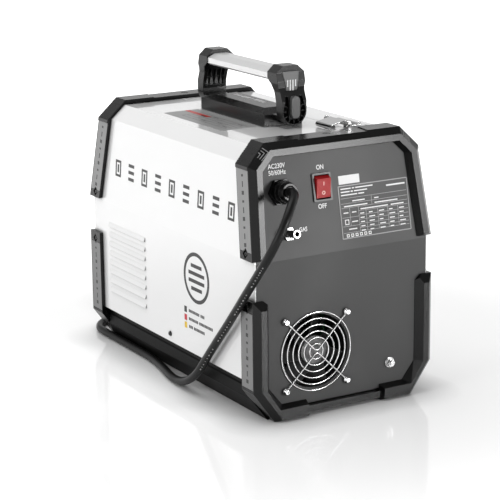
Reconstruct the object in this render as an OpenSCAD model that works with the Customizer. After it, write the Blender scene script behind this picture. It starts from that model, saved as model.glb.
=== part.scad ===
// Portable inverter plasma cutter, power unit.
// X runs across the machine, +Y to its rear, +Z up; the origin is on the floor under its middle.

/* [Casing] */
// Half width of the machine over its corner guards
half_w = 122; // [120:1:124]
// Distance from the middle to the rear face of the rear guards
end_y = 213.5; // [212:0.5:216]
// Height of the upper guards' flat top
top_z = 319; // [317:1:321]
// Height of the fold where both ends and both sides start to lean inwards
bend_z = 188; // [186:1:189]
// Inward lean of the two ends, in millimetres for each millimetre of height
lean_end = 0.186; // [0.17:0.002:0.2]
// Inward lean of the two sides, in millimetres for each millimetre of height
lean_side = 0.068; // [0.06:0.002:0.075]
// Thickness of the cover and door sheet
sheet_t = 1.2; // [1:0.1:1.5]
// How far the side faces of the cover lie inside the guards' faces
cover_step = 5; // [4.6:0.1:5.4]
// Height of the cover's lower edge
cover_low_z = 46; // [45:0.5:47]
// Height of the cover's flat top
cover_top_z = 313; // [312.5:0.5:313]

/* [Guards] */
// Width of the bevel round each guard's outer face
bevel = 7.2; // [6.5:0.1:7.5]
// Width of the flat rim inside the bevel
rim_w = 7.5; // [7:0.1:8]
// Depth of the end panels behind the guards' outer faces
recess_d = 10; // [9.5:0.1:10.5]
// Depth of a guard along the machine
guard_d = 33.5; // [33:0.5:34]
// Height where the upper guards' arms end
arm_end_z = 191; // [190:0.5:192]
// Height where the lower guards' arms end
arm_top_z = 145; // [143:0.5:147]
// Height where the ribbed corner cap of an upper guard begins
cap_z = 291; // [290:0.5:292]
// How far the corner cap stands proud of the arm
cap_step = 0.9; // [0.6:0.1:1]

/* [Louvres] */
// Number of louvres in the side of the cover
louvre_count = 8; // [4:1:9]
// Height of the top louvre
louvre_top_z = 158; // [156:1:162]
// Distance between louvres
louvre_pitch = 12.2; // [11.5:0.1:12.4]

/* [Handle] */
// Half length of the grip between its brackets
grip_half = 73; // [72:1:74]
// Height of the underside of the grip
grip_low_z = 367; // [366:0.5:367]
// Height of the top of the brackets
bracket_top_z = 386; // [384:1:388]

/* [Fan] */
// Side of the square fan frame
fan_size = 92; // [90:1:93]
// Distance between the fan's screw holes
fan_pitch = 82.5; // [81:0.1:83]
// Number of fan blades
blade_count = 7; // [5:1:9]
// Number of rings in the fan guard
ring_count = 6; // [4:1:7]

/* [Mains lead] */
// Diameter of the lead
cord_d = 10; // [9:0.5:10]
// Turns in the stored coil
coil_turns = 4; // [4:1:4]
// Step from one turn to the next
coil_step = 10.7; // [10.6:0.1:11]

/* [Hidden] */
$fn = 48;

gap = 0.3;
lean_deg = atan(lean_end);
side_deg = atan(lean_side);
panel_y = end_y - recess_d;
panel_t = 1.5;
guard_in_y = end_y - guard_d;
cover_hw = half_w - cover_step;
// Sum of x and z along the top corner's bevel, for the guards and for the cover
guard_k = 410.8;
cover_k = 405.5;
// Lower corner of the guards: where the bevel starts, and its foot on the floor
foot_z = 38;
foot_x = 94.5;
// The door on the -X side
seam_x = -50;
door_y = 178;
door_low_z = 50.5;
hinge_x = -114;
hinge_z = 46.5;
hinge_half = 150;
knuckle_n = 7;
// Items on the rear panel
gland_x = 75;
gland_z = 262.6;
switch_x = 20.2;
switch_z = 262;
gas_x = 71;
gas_z = 216;
fan_x = 37.2;
fan_z = 74.5;
stud_x = -65;
stud_z = 43.5;
plate_x = -48.7;
plate_z = 230;
// Items on the front panel
fascia_z = 250;
torch_x = -50;
torch_z = 104;
earth_x = 54;
earth_z = 66;
ctrl_x = 50;
ctrl_z = 128;
knob_x = 40;
button_x = -40;
button_gap = 24;
// Latch on the top
handle_y = -1.3;
latch_x = -45;
latch_y = 123;
latch_z = 321;
hook_x = -65;

// ---------- placing and drawing helpers ----------

function side_at(hw, z) = hw - lean_side * max(0, z - bend_z);
function end_at(y, z) = y - lean_end * max(0, z - bend_z);
function corner_z(hw, k) = (k - hw - lean_side * bend_z) / (1 - lean_side);
function mirrored(p) = concat(p, [for (i = [len(p) - 1:-1:0]) [-p[i][0], p[i][1]]]);

// XZ outline of a casing section, open or closed below at z0
function upper_outline(hw, zt, k, z0) =
  mirrored(concat(
    [[side_at(hw, z0), z0]],
    z0 < bend_z ? [[hw, bend_z]] : [],
    [[side_at(hw, corner_z(hw, k)), corner_z(hw, k)], [k - zt, zt]]));

// XZ outline of the lower part of a guard
function lower_outline(hw, z1, zc, xb, zb) = mirrored([[hw, z1], [hw, zc], [xb, zb]]);

// Extrudes an XZ outline from y0 to y1
module xz(points, y0, y1) {
  translate([0, y1, 0])
    rotate([90, 0, 0])
      linear_extrude(y1 - y0)
        polygon(points);
}

// Extrudes a YZ outline from x0 to x1
module yz(points, x0, x1) {
  translate([x0, 0, 0])
    rotate([90, 0, 90])
      linear_extrude(x1 - x0)
        polygon(points);
}

// The band between y_in and y_out (as measured below the fold) that leans with the rear end
module end_slab(y_in, y_out, z0, z1) {
  outer = concat([[end_at(y_out, z0), z0]],
    z0 < bend_z && z1 > bend_z ? [[y_out, bend_z]] : [],
    [[end_at(y_out, z1), z1]]);
  inner = concat([[end_at(y_in, z1), z1]],
    z0 < bend_z && z1 > bend_z ? [[y_in, bend_z]] : [],
    [[end_at(y_in, z0), z0]]);
  yz(concat(outer, inner), -half_w - 20, half_w + 20);
}

// Everything between the two leaning ends
module body_slab(y, z0, z1, x0, x1) {
  yz([[-y, z0], [y, z0], [y, bend_z], [end_at(y, z1), z1], [-end_at(y, z1), z1], [-y, bend_z]],
    x0, x1);
}

// A thin leaning slice of an XZ outline, to build bevels between
module slice(points, y) {
  intersection() {
    xz(points, 100, 260);
    end_slab(y - 0.05, y, -5, top_z + 20);
  }
}

// Puts children on the leaning upper rear panel at (x, z), with local +Y outwards
module on_rear(x, z) {
  translate([x, end_at(panel_y, z), z])
    rotate([lean_deg, 0, 0])
      children();
}

module on_front(x, z) {
  mirror([0, 1, 0])
    on_rear(x, z)
      children();
}

// Puts children on the leaning side face of an upper guard: local x is outwards from the face
module on_side() {
  translate([half_w, 0, bend_z])
    rotate([0, -side_deg, 0])
      children();
}

module both_sides() {
  children();
  mirror([1, 0, 0])
    children();
}

module both_ends() {
  children();
  mirror([0, 1, 0])
    children();
}

// A cylinder along +Y from the local origin
module rod_y(r, l) {
  rotate([-90, 0, 0])
    cylinder(r = r, h = l);
}

module rod_x(r, l) {
  rotate([0, 90, 0])
    cylinder(r = r, h = l);
}

module block(x0, x1, y0, y1, z0, z1) {
  translate([x0, y0, z0])
    cube([x1 - x0, y1 - y0, z1 - z0]);
}

// A domed screw head with a hex socket, its seat on the local XZ plane, facing +Y
module screw(head_r, head_h, shank_r, shank_l) {
  difference() {
    union() {
      rotate([-90, 0, 0])
        cylinder(r1 = head_r, r2 = head_r * 0.7, h = head_h);
      translate([0, -shank_l, 0])
        rod_y(shank_r, shank_l + 0.1);
    }
    translate([0, head_h * 0.4, 0])
      rotate([-90, 0, 0])
        cylinder(r = head_r * 0.4, h = head_h, $fn = 6);
  }
}

// A plate with rounded corners in the local XZ plane, from y = 0 to t
module round_plate(w, h, r, t) {
  translate([0, t, 0])
    rotate([90, 0, 0])
      linear_extrude(t)
        union() {
          square([w - 2 * r, h], center = true);
          square([w, h - 2 * r], center = true);
          for (x = [-1, 1])
            for (z = [-1, 1])
              translate([x * (w / 2 - r), z * (h / 2 - r)])
                circle(r = r, $fn = 24);
        }
}

// ---------- base ----------

// Folded steel tray that everything stands in
module base_tray() {
  floor_z = 12.8;
  half = [[-1, floor_z], [95, floor_z], [102.8, 24], [102.8, 46.4], [115.4, 46.4], [115.4, 64],
    [113.9, 64], [113.9, 47.9], [101.3, 47.9], [101.3, 24.4], [94.3, 14.3], [-1, 14.3]];
  color([0.13, 0.13, 0.14])
    difference() {
      union() {
        xz(half, -201.5, 201.5);
        mirror([1, 0, 0])
          difference() {
            xz(half, -201.5, 201.5);
            block(103.1, 120, -180, 180, 45, 70);
          }
      }
      for (y = [-120:40:120])
        block(-70, -35, y - 4, y + 4, 10, 20);
      translate([112, 0, 56])
        rod_x(1.8, 5);
    }
}

// Plastic skids under the sides, with a groove below the cover's edge
module side_rails() {
  section = [[109.5, 45], [109.5, 37], [111, 35.5], [111, 22.8], [97.5, 0], [86, 0], [86, 12.5],
    [95.5, 12.5], [103.5, 24], [103.5, 45]];
  reach = [[-179.6, 46], [-179.6, 27], [-195.6, -1], [195.6, -1], [179.6, 27], [179.6, 46]];
  color([0.16, 0.16, 0.16])
    both_sides()
      intersection() {
        xz(section, -200, 200);
        yz(reach, 80, 120);
      }
}

// ---------- sheet metal ----------

module shell_sheet(z0) {
  difference() {
    xz(upper_outline(cover_hw, cover_top_z, cover_k, z0), -210, 210);
    xz(upper_outline(cover_hw - sheet_t, cover_top_z - sheet_t, cover_k - 1.41 * sheet_t, z0 - 9),
      -211, 211);
  }
}

// Pressed hood with its slot, on the +X side
module louvre_hoods() {
  for (i = [0:louvre_count - 1]) {
    z = louvre_top_z - i * louvre_pitch;
    difference() {
      xz([[cover_hw - sheet_t, z + 6], [cover_hw - 0.1, z + 6], [cover_hw + 2.2, z],
        [cover_hw - sheet_t, z]], -160, -62);
      xz([[cover_hw - 3, z + 3.4], [cover_hw, z + 3.4], [cover_hw + 1.3, z - 1],
        [cover_hw - 3, z - 1]], -158.6, -63.4);
    }
  }
}

module louvre_slots() {
  for (i = [0:louvre_count - 1]) {
    z = louvre_top_z - i * louvre_pitch;
    block(cover_hw - 3, cover_hw + 0.05, -158.6, -63.4, z - 0.2, z + 3.2);
  }
}

// White cover: +X side, top and the frame round the door
module cover() {
  color([0.93, 0.93, 0.93])
    union() {
      difference() {
        intersection() {
          shell_sheet(cover_low_z);
          body_slab(panel_y, 0, 330, -130, 130);
        }
        body_slab(door_y + 0.8, 0, 330, -130, seam_x + 0.3);
        louvre_slots();
        translate([cover_hw - 5, 0, 56])
          rod_x(1.8, 10);
      }
      louvre_hoods();
    }
}

// White door: -X side, its top bevel and a strip of the top up to the seam
module side_door() {
  color([0.93, 0.93, 0.93])
    union() {
      intersection() {
        shell_sheet(door_low_z);
        body_slab(door_y, 0, 330, -130, seam_x - 0.3);
      }
      for (z = [90, 150])
        block(-cover_hw + sheet_t - 0.1, -cover_hw + sheet_t + 7, -160, 160, z, z + 1.5);
    }
}

function knuckle_at(i) = -hinge_half + i * 2 * hinge_half / knuckle_n;

// Knuckles number first, first + 2 and so on of the door hinge, with their bore left to cut
module knuckles(first) {
  for (i = [first:2:knuckle_n - 1])
    translate([hinge_x, knuckle_at(i) + 0.2, hinge_z])
      rod_y(2.8, 2 * hinge_half / knuckle_n - 0.4);
}

module knuckle_tabs(first, x0, x1, z0, z1) {
  for (i = [first:2:knuckle_n - 1])
    block(x0, x1, knuckle_at(i) + 0.2, knuckle_at(i + 1) - 0.2, z0, z1);
}

module hinge_bore() {
  translate([hinge_x, -hinge_half - 5, hinge_z])
    rod_y(1.25, 2 * hinge_half + 10);
}

module hinge_leaf_frame() {
  color([0.75, 0.75, 0.77])
    difference() {
      union() {
        block(-112.6, -111, -hinge_half, hinge_half, 27, 43.2);
        knuckle_tabs(0, -112.6, -111, 43, hinge_z);
        knuckles(0);
      }
      hinge_bore();
    }
}

module hinge_leaf_door() {
  color([0.75, 0.75, 0.77])
    difference() {
      union() {
        block(-115.8, -114.6, -hinge_half, hinge_half, 49.8, 62);
        knuckle_tabs(1, -115.8, -114.6, hinge_z, 50);
        knuckles(1);
      }
      hinge_bore();
    }
}

module hinge_pin() {
  color([0.8, 0.8, 0.82])
    translate([hinge_x, -hinge_half - 1.5, hinge_z])
      union() {
        rod_y(1.2, 2 * hinge_half + 3);
        rod_y(2.2, 1.3);
      }
}

// Folded panel that closes one end inside the guards
module end_panel() {
  intersection() {
    xz(mirrored([[97, 14.6], [cover_hw - 1.6, 40.6], [cover_hw - 1.6, bend_z],
      [side_at(cover_hw - 1.6, 294), 294], [cover_k - 3 - cover_top_z + 1.6, cover_top_z - 1.6]]),
      150, 240);
    end_slab(panel_y - panel_t, panel_y, -5, 330);
  }
}

module rear_panel() {
  color([0.4, 0.4, 0.4])
    difference() {
      end_panel();
      on_rear(gland_x, gland_z)
        translate([0, -5, 0])
          rod_y(11.2, 10);
      on_rear(switch_x, switch_z)
        translate([-11.3, -5, -14.8])
          cube([22.6, 10, 29.6]);
      on_rear(gas_x, gas_z)
        translate([0, -5, 0])
          rod_y(5.2, 10);
      translate([fan_x, 190, fan_z])
        rod_y(44, 30);
      for (x = [-1, 1])
        for (z = [-1, 1])
          translate([fan_x + x * fan_pitch / 2, 190, fan_z + z * fan_pitch / 2])
            rod_y(2.3, 30);
      translate([stud_x, 190, stud_z])
        rod_y(3.2, 30);
    }
}

module front_panel() {
  color([0.4, 0.4, 0.4])
    difference() {
      mirror([0, 1, 0])
        end_panel();
      on_front(0, fascia_z)
        translate([-60, -8, -24])
          cube([120, 12, 48]);
      for (p = [[torch_x, torch_z, 17.5], [earth_x, earth_z, 13.5], [ctrl_x, ctrl_z, 8.5]])
        translate([p[0], -240, p[1]])
          rod_y(p[2], 50);
      for (i = [0:6])
        block(-62 + i * 8, -58 + i * 8, -230, -190, 30, 62);
    }
}

// ---------- corner guards ----------

module diamond_seat(y, z) {
  translate([-2, end_at(y, z), z - bend_z])
    rotate([0, 90, 0])
      cylinder(r = 5.6, h = 5, $fn = 4);
  translate([-4.5, end_at(y, z), z - bend_z])
    rod_x(1.5, 5);
}

// Inlay strip with a notch round the screw's seat
module inlay(z0, z1, screw_y, screw_z) {
  difference() {
    yz(inlay_outline(z0, z1, -0.15), -1.35, -0.1);
    translate([-3, end_at(screw_y, screw_z), screw_z - bend_z])
      rotate([0, 90, 0])
        cylinder(r = 7.2, h = 5, $fn = 4);
  }
}

module upper_guard() {
  inset = bevel + rim_w;
  open_w = half_w - 19.5;
  difference() {
    union() {
      guard_section(half_w, arm_end_z, top_z);
      guard_section(half_w + cap_step, cap_z, top_z);
    }
    hull() {
      slice(upper_outline(half_w - inset, top_z - inset, guard_k - 1.45 * inset, arm_end_z - 8),
        end_y + 0.05);
      slice(upper_outline(open_w, top_z - 17.5, guard_k - 27, arm_end_z - 8), panel_y + 0.2);
    }
    intersection() {
      xz(upper_outline(cover_hw + gap, cover_top_z + gap, cover_k + 0.4, arm_end_z - 8), 100, 260);
      end_slab(guard_in_y - 20, panel_y + 0.2, -5, top_z + 5);
    }
    // lower middle part of the top bar
    translate([0, 0, top_z - 1])
      linear_extrude(5)
        polygon(mirrored([[51, 100], [51, end_at(guard_in_y, top_z)], [46, 190], [46, 250]]));
    // seats of the inlays and of the arm screws
    both_sides()
      on_side() {
        yz(inlay_outline(200.7, cap_z, 0), -1.4, 0.05);
        diamond_seat(192, 198);
      }
    translate([0, 168.5, top_z - 2.6])
      cylinder(r = 4.4, h = 5);
    // two groups of fine grooves over the outer corners
    both_sides()
      for (z = [295.5, 297.4, 299.3, 301.2, 307, 308.9, 310.8, 312.7])
        translate([guard_k - z, 100, z])
          rotate([0, 45, 0])
            translate([-0.4, 0, -0.5])
              cube([0.8, 160, 1]);
  }
}

// One height band of the upper guard, bevelled at its end
module guard_section(hw, z0, z1) {
  intersection() {
    xz(upper_outline(hw, top_z, guard_k, z0), 100, 260);
    end_slab(guard_in_y, end_y - bevel, -5, z1 + 5);
  }
  hull() {
    slice(upper_outline(hw, top_z, guard_k, z0), end_y - bevel);
    slice(upper_outline(hw - bevel, top_z - bevel, guard_k - 1.5 * bevel,
      z0 < 200 ? z0 + 4 : z0), end_y);
  }
}

// Outline of an inlay between two heights, grown by g, in the guard side's own frame
function inlay_outline(z0, z1, g) =
  let(a = 180.4 - g, b = 205.2 + g)
  [[end_at(a, z0), z0 - bend_z - g], [end_at(b, z0), z0 - bend_z - g],
    [end_at(b, z1), z1 - bend_z + g], [end_at(a, z1), z1 - bend_z + g]];

module lower_guard() {
  difference() {
    union() {
      xz(lower_outline(half_w, arm_top_z, foot_z, foot_x, 0), guard_in_y, end_y - bevel);
      hull() {
        xz(lower_outline(half_w, arm_top_z, foot_z, foot_x, 0), end_y - bevel - 0.05,
          end_y - bevel);
        xz(lower_outline(half_w - bevel, arm_top_z - 9.5, foot_z + 2.4, foot_x - bevel, 2.5),
          end_y - 0.05, end_y);
      }
    }
    hull() {
      xz(lower_outline(half_w - bevel - rim_w, 160, 40.5, 90.5, 15.5), end_y, end_y + 0.05);
      xz(lower_outline(half_w - 22, 160, 40, 83, 19), panel_y + 0.15, panel_y + 0.2);
    }
    xz(lower_outline(cover_hw + gap, 160, 41, 97, 12.5), guard_in_y - 10, panel_y + 0.2);
    // sloped inner corner on top of each arm
    both_sides()
      xz([[90, 150], [108.5, 150], [108.5, 145.5], [99, 137], [90, 137]], panel_y, end_y + 1);
    // slim middle of the lower bar
    translate([0, 0, 12])
      linear_extrude(10)
        polygon(mirrored([[49, panel_y - 8], [53, end_y + 2]]));
    translate([0, 0, -1])
      linear_extrude(20)
        polygon(mirrored([[51, end_y - 5], [53, end_y + 2]]));
    block(-51, 51, guard_in_y - 2, end_y + 2, -1, 4);
    // slanted step where the skids run under the guard
    both_sides()
      yz([[170, 27.5], [guard_in_y + 0.1, 27.5], [196.1, -1], [170, -1]], 80, 125);
    both_sides() {
      translate([half_w, 0, bend_z])
        yz(inlay_outline(41.5, 131, 0), -1.4, 0.05);
      translate([half_w, 0, bend_z])
        diamond_seat(193, 136);
    }
  }
}

module upper_guard_rear() {
  color([0.14, 0.14, 0.14])
    upper_guard();
}

module upper_guard_front() {
  color([0.14, 0.14, 0.14])
    mirror([0, 1, 0])
      upper_guard();
}

module lower_guard_rear() {
  color([0.14, 0.14, 0.14])
    lower_guard();
}

module lower_guard_front() {
  color([0.14, 0.14, 0.14])
    mirror([0, 1, 0])
      lower_guard();
}

module upper_inlays() {
  color([0.62, 0.62, 0.62])
    both_ends()
      both_sides()
        on_side()
          inlay(200.7, cap_z, 192, 198);
}

module lower_inlays() {
  color([0.5, 0.5, 0.5])
    both_ends()
      both_sides()
        translate([half_w, 0, bend_z])
          inlay(41.5, 131, 193, 136);
}

module arm_screw() {
  rotate([0, 0, -90])
    screw(2.8, 1.5, 1.4, 2);
}

// All outside screws of the casing: arm ends, top bars and cover side
module casing_screws() {
  color([0.1, 0.1, 0.1]) {
    both_ends()
      both_sides() {
        on_side()
          translate([-1.9, end_at(192, 198), 198 - bend_z])
            arm_screw();
        translate([half_w - 1.9, 193, 136])
          arm_screw();
      }
    both_ends()
      translate([0, 168.5, top_z - 2.5])
        rotate([90, 0, 0])
          screw(4, 1.4, 1.6, 0);
    translate([cover_hw + 0.05, 0, 56])
      rotate([0, 0, -90])
        screw(3.4, 1.8, 1.6, 6);
  }
}

// ---------- handle ----------

// Long box with bevelled top edges, screwed to the top of the cover
module handle_base() {
  base_hw = 26;
  base_hl = 76;
  low = cover_top_z + 0.1;
  color([0.12, 0.12, 0.12])
    translate([0, handle_y, 0])
      intersection() {
        xz(mirrored([[base_hw, low], [base_hw, 328], [15, 332.6]]), -base_hl, base_hl);
        yz([[-base_hl, low], [base_hl, low], [base_hl, 327], [58, 332.6], [-58, 332.6],
          [-base_hl, 327]], -30, 30);
      }
}

// Upright that carries one end of the grip: a bevelled head, a neck and a round foot
module handle_bracket() {
  foot_r = 16.6;
  foot_c = 333;
  recess_r = 15;
  recess_y = 94.5;
  difference() {
    intersection() {
      union() {
        xz(mirrored([[foot_r, foot_c], [foot_r, 356], [19, 366], [19, 378], [10, bracket_top_z]]),
          60, 110);
        translate([0, 60, foot_c])
          rod_y(foot_r, 50);
      }
      yz([[grip_half - 1, bracket_top_z + 5], [grip_half - 1, 371], [75, 368], [79.5, 365],
        [83, 357], [87, 345], [88, 336], [88, 328], [76.2, 328], [76.2, 310], [101, 310],
        [101.5, 345], [95, 361], [95, 368], [92.5, 378], [92.5, bracket_top_z + 5]], -30, 30);
    }
    // socket of the grip
    xz(grip_section(0.1), 60, 83);
    // open U round the tongue
    difference() {
      union() {
        translate([0, recess_y, foot_c])
          rod_y(recess_r, 20);
        xz([[-recess_r, foot_c], [recess_r, foot_c], [11.4, 351], [-11.4, 351]], recess_y, 112);
      }
      xz([[-7.4, 324], [7.4, 324], [7.4, 353], [-7.4, 353]], 80, 104);
      for (a = [-120:30:120])
        translate([0, recess_y, foot_c])
          rotate([0, a, 0])
            block(-0.5, 0.5, -8, 5.6, -recess_r - 1, -10);
    }
    // seats of the tongue's insert and of the badge
    tongue_seat(0);
    badge_seat(0);
    // ribbed pocket on the inner side
    difference() {
      xz([[-12, 340], [12, 340], [12, 360], [-12, 360]], 60, 89.2);
      for (x = [-7, 0, 7])
        block(x - 0.6, x + 0.6, 60, 90, 338, 364);
      block(-13, 13, 60, 90, 349.4, 350.6);
    }
  }
}

module tongue_seat(g) {
  hull()
    for (z = [331 + g, 346 - g])
      translate([0, 99, z])
        rod_y(5.8 - g, 10);
}

module badge_seat(g) {
  xz(mirrored([[7.5 - g, 357 + g], [11.5 - g, 379.5 - g]]), 90.6, 110);
}

module handle_bracket_rear() {
  color([0.13, 0.13, 0.13])
    translate([0, handle_y, 0])
      handle_bracket();
}

module handle_bracket_front() {
  color([0.13, 0.13, 0.13])
    translate([0, handle_y, 0])
      mirror([0, 1, 0])
        handle_bracket();
}

// Outline of the grip, grown by g
function grip_section(g) =
  mirrored([[12 + g, grip_low_z - g], [17.8 + g, grip_low_z + 3.2 - g / 2],
    [17.8 + g, grip_low_z + 9.6 + g / 2], [8 + g, grip_low_z + 14.2 + g]]);

// Hollow aluminium bar between the brackets
module handle_grip() {
  color([0.85, 0.85, 0.86])
    translate([0, handle_y, 0])
      difference() {
        xz(grip_section(0), -82.8, 82.8);
        xz(grip_section(-2.2), -90, 90);
      }
}

// Grey tongues and light badge plates in the brackets' outer faces
module handle_inserts() {
  color([0.55, 0.55, 0.56])
    translate([0, handle_y, 0])
      both_ends() {
        intersection() {
          tongue_seat(0.2);
          block(-10, 10, 99.1, 105, 320, 360);
        }
        intersection() {
          badge_seat(0.2);
          yz([[90.7, 350], [95.3, 350], [95.3, 368], [92.8, 380], [90.7, 380]], -15, 15);
        }
      }
}

// ---------- draw latch on the top ----------

latch_half = 16;
latch_wire = 1.2;

// Plate, two eared cheeks and the pin that carries the lever and the bail
module latch_base() {
  color([0.8, 0.8, 0.82])
    union() {
      block(-49.5, -33, latch_y - 19, latch_y + 19, cover_top_z + 0.05, cover_top_z + 1);
      for (s = [-1, 1])
        translate([0, latch_y + s * (latch_half + 1.8) - 0.6, 0]) {
          block(latch_x - 3.2, latch_x + 3.2, 0, 1.2, cover_top_z + 0.5, latch_z);
          translate([latch_x, 0, latch_z])
            rod_y(3.2, 1.2);
        }
      translate([latch_x, latch_y - 25.6, latch_z])
        rod_y(latch_wire, 51.2);
      for (s = [-1, 1])
        translate([latch_x, latch_y + s * 25.3 - 0.5, latch_z])
          rod_y(2, 1);
    }
}

// Sheet lever: a roll on the pin, and the finger roll at its free edge
module latch_lever() {
  roll_z = 317.1;
  color([0.7, 0.7, 0.72])
    difference() {
      union() {
        translate([-28, latch_y - latch_half - 0.5, roll_z])
          rod_y(3.2, 2 * latch_half + 1);
        translate([latch_x, latch_y - latch_half, latch_z])
          rod_y(2.8, 2 * latch_half);
        xz([[latch_x, latch_z + 2.8], [latch_x, latch_z + 1.7], [-28, roll_z + 2], [-28, roll_z + 3.2]],
          latch_y - latch_half, latch_y + latch_half);
      }
      translate([latch_x, latch_y - 30, latch_z])
        rod_y(latch_wire + 0.06, 60);
    }
}

// Wire bail on the ends of the pin, laid down beside the hook and not on it
module latch_bail() {
  arm_y = 22.6;
  tip_x = -61.5;
  arm_z = latch_z - 2.6;
  color([0.85, 0.85, 0.87])
    translate([0, latch_y, 0])
      difference() {
        union() {
          for (s = [-1, 1]) {
            translate([latch_x, s * arm_y - 1.25, latch_z])
              rod_y(3.4, 2.5);
            translate([tip_x - 1, s * arm_y, arm_z])
              rod_x(latch_wire, latch_x + 4 - tip_x);
          }
          translate([tip_x, -arm_y - 1, arm_z])
            rod_y(latch_wire - 0.05, 2 * arm_y + 2);
        }
        translate([latch_x, -30, latch_z])
          rod_y(latch_wire + 0.06, 60);
      }
}

// Hook on the door's top strip that the bail's wire pulls on
module latch_keeper() {
  color([0.8, 0.8, 0.82])
    difference() {
      union() {
        block(-84, hook_x + 1.4, latch_y - 14, latch_y + 14, cover_top_z + 0.05, cover_top_z + 1);
        xz([[hook_x + 1.4, cover_top_z + 0.5], [hook_x + 1.4, 317], [hook_x - 0.5, 318.6],
          [hook_x - 4.5, 318.6], [hook_x - 4.5, 317.4], [hook_x - 1, 317.4], [hook_x + 0.2, 316.4],
          [hook_x + 0.2, cover_top_z + 0.5]], latch_y - 12, latch_y + 12);
      }
      for (y = [-9, 9])
        translate([-79, latch_y + y, cover_top_z])
          cylinder(r = 1.6, h = 2);
    }
}

// ---------- mains lead ----------

module gland_body() {
  color([0.08, 0.08, 0.08])
    on_rear(gland_x, gland_z)
      difference() {
        union() {
          translate([0, 0.05, 0])
            rotate([-90, 0, 0])
              cylinder(r = 16.2, h = 5, $fn = 6);
          translate([0, -12, 0])
            rod_y(11, 13);
          translate([0, -5, 0])
            rotate([-90, 0, 0])
              cylinder(r = 15, h = 3.2, $fn = 6);
          translate([0, 5, 0])
            rod_y(9, 6);
        }
        translate([0, -15, 0])
          rod_y(6.95, 30);
      }
}

// Domed nut with grip ribs
module gland_nut() {
  color([0.08, 0.08, 0.08])
    on_rear(gland_x, gland_z)
      difference() {
        union() {
          translate([0, 5.2, 0])
            rod_y(13.2, 5.8);
          translate([0, 10.9, 0])
            rotate([-90, 0, 0])
              cylinder(r1 = 12.9, r2 = 11.9, h = 5.2);
          translate([0, 16, 0])
            rotate([-90, 0, 0])
              cylinder(r1 = 11.5, r2 = 9.6, h = 6);
          for (a = [0:30:330])
            rotate([0, a, 0])
              block(-1, 1, 5.2, 11, 12.7, 13.7);
        }
        translate([0, 5, 0])
          rod_y(9.1, 6.2);
        translate([0, 5, 0])
          rod_y(7.1, 20);
      }
}

// Tapered rubber sleeve that stops the lead kinking where it leaves the nut
module cord_sleeve() {
  color([0.1, 0.1, 0.1])
    on_rear(gland_x, gland_z)
      difference() {
        union() {
          translate([0, -2, 0])
            rod_y(7, 17);
          translate([0, 14.9, 0])
            rotate([-90, 0, 0])
              cylinder(r1 = 7, r2 = 6, h = 6.6);
        }
        translate([0, -5, 0])
          rod_y(cord_d / 2 - 0.05, 30);
      }
}

// Route of the lead from inside the gland, down beside the casing and round the front
ROUTE = [
  [75, 188, 262.3], [75, 200, 264.6], [75, 211, 266.6], [77, 220.5, 267.7], [83, 232.5, 267.2],
  [93.5, 244.5, 262.5], [104, 253.5, 253], [113, 257.5, 240], [120.5, 256.5, 226],
  [125.5, 251.5, 212], [128.5, 243.5, 199], [129.5, 233.5, 187], [129.5, 218, 170],
  [129, 202, 153.5], [128.5, 186, 136.5], [127.5, 170, 120.5], [127, 154, 104], [126.5, 136, 86],
  [126.5, 118, 67], [126.5, 100, 47.5], [126.5, 86, 33], [126.5, 70, 20.5], [126, 52, 11.5],
  [125, 33, 6.5], [123, 12, 5.2], [119, -9, 5.2], [114.5, -31, 5.2], [111, -54, 5.2],
  [109, -78, 5.2], [108.5, -102, 5.2], [108.5, -154, 5.2], [108.5, -206, 5.2], [105, -224, 5.2],
  [96, -238, 5.2], [83, -247, 5.2], [66, -250.5, 5.2], [42, -250.5, 5.2], [16, -250.5, 5.5],
  [-10, -250.5, 5.9], [-20, -250.5, 5.9]];

function unit(v) = v / norm(v);
function tangent(p, i) =
  unit(p[min(i + 1, len(p) - 1)] - p[max(i - 1, 0)]);

// Rings of a round tube along a path; each ring's frame is carried on from the one before
function next_frame(t, n) = unit(n - (n * t) * t);
function frames(p, i, n) =
  i >= len(p) ? [] :
  let(f = next_frame(tangent(p, i), n)) concat([f], frames(p, i + 1, f));

module tube(p, r, sides, n0) {
  f = frames(p, 0, n0);
  points = [for (i = [0:len(p) - 1])
    let(t = tangent(p, i), b = cross(t, f[i]))
    for (k = [0:sides - 1])
      p[i] + r * (cos(k * 360 / sides) * f[i] + sin(k * 360 / sides) * b)];
  walls = [for (i = [0:len(p) - 2]) for (k = [0:sides - 1])
    let(a = i * sides + k, b = i * sides + (k + 1) % sides)
    each [[a, a + sides, b + sides], [a, b + sides, b]]];
  last = (len(p) - 1) * sides;
  start_cap = [for (k = [1:sides - 2]) [0, k, k + 1]];
  end_cap = [for (k = [1:sides - 2]) [last, last + k + 1, last + k]];
  polyhedron(points, concat(walls, start_cap, end_cap));
}

module mains_cord() {
  color([0.11, 0.11, 0.11])
    tube(ROUTE, cord_d / 2, 12, [1, 0, 0]);
}

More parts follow.
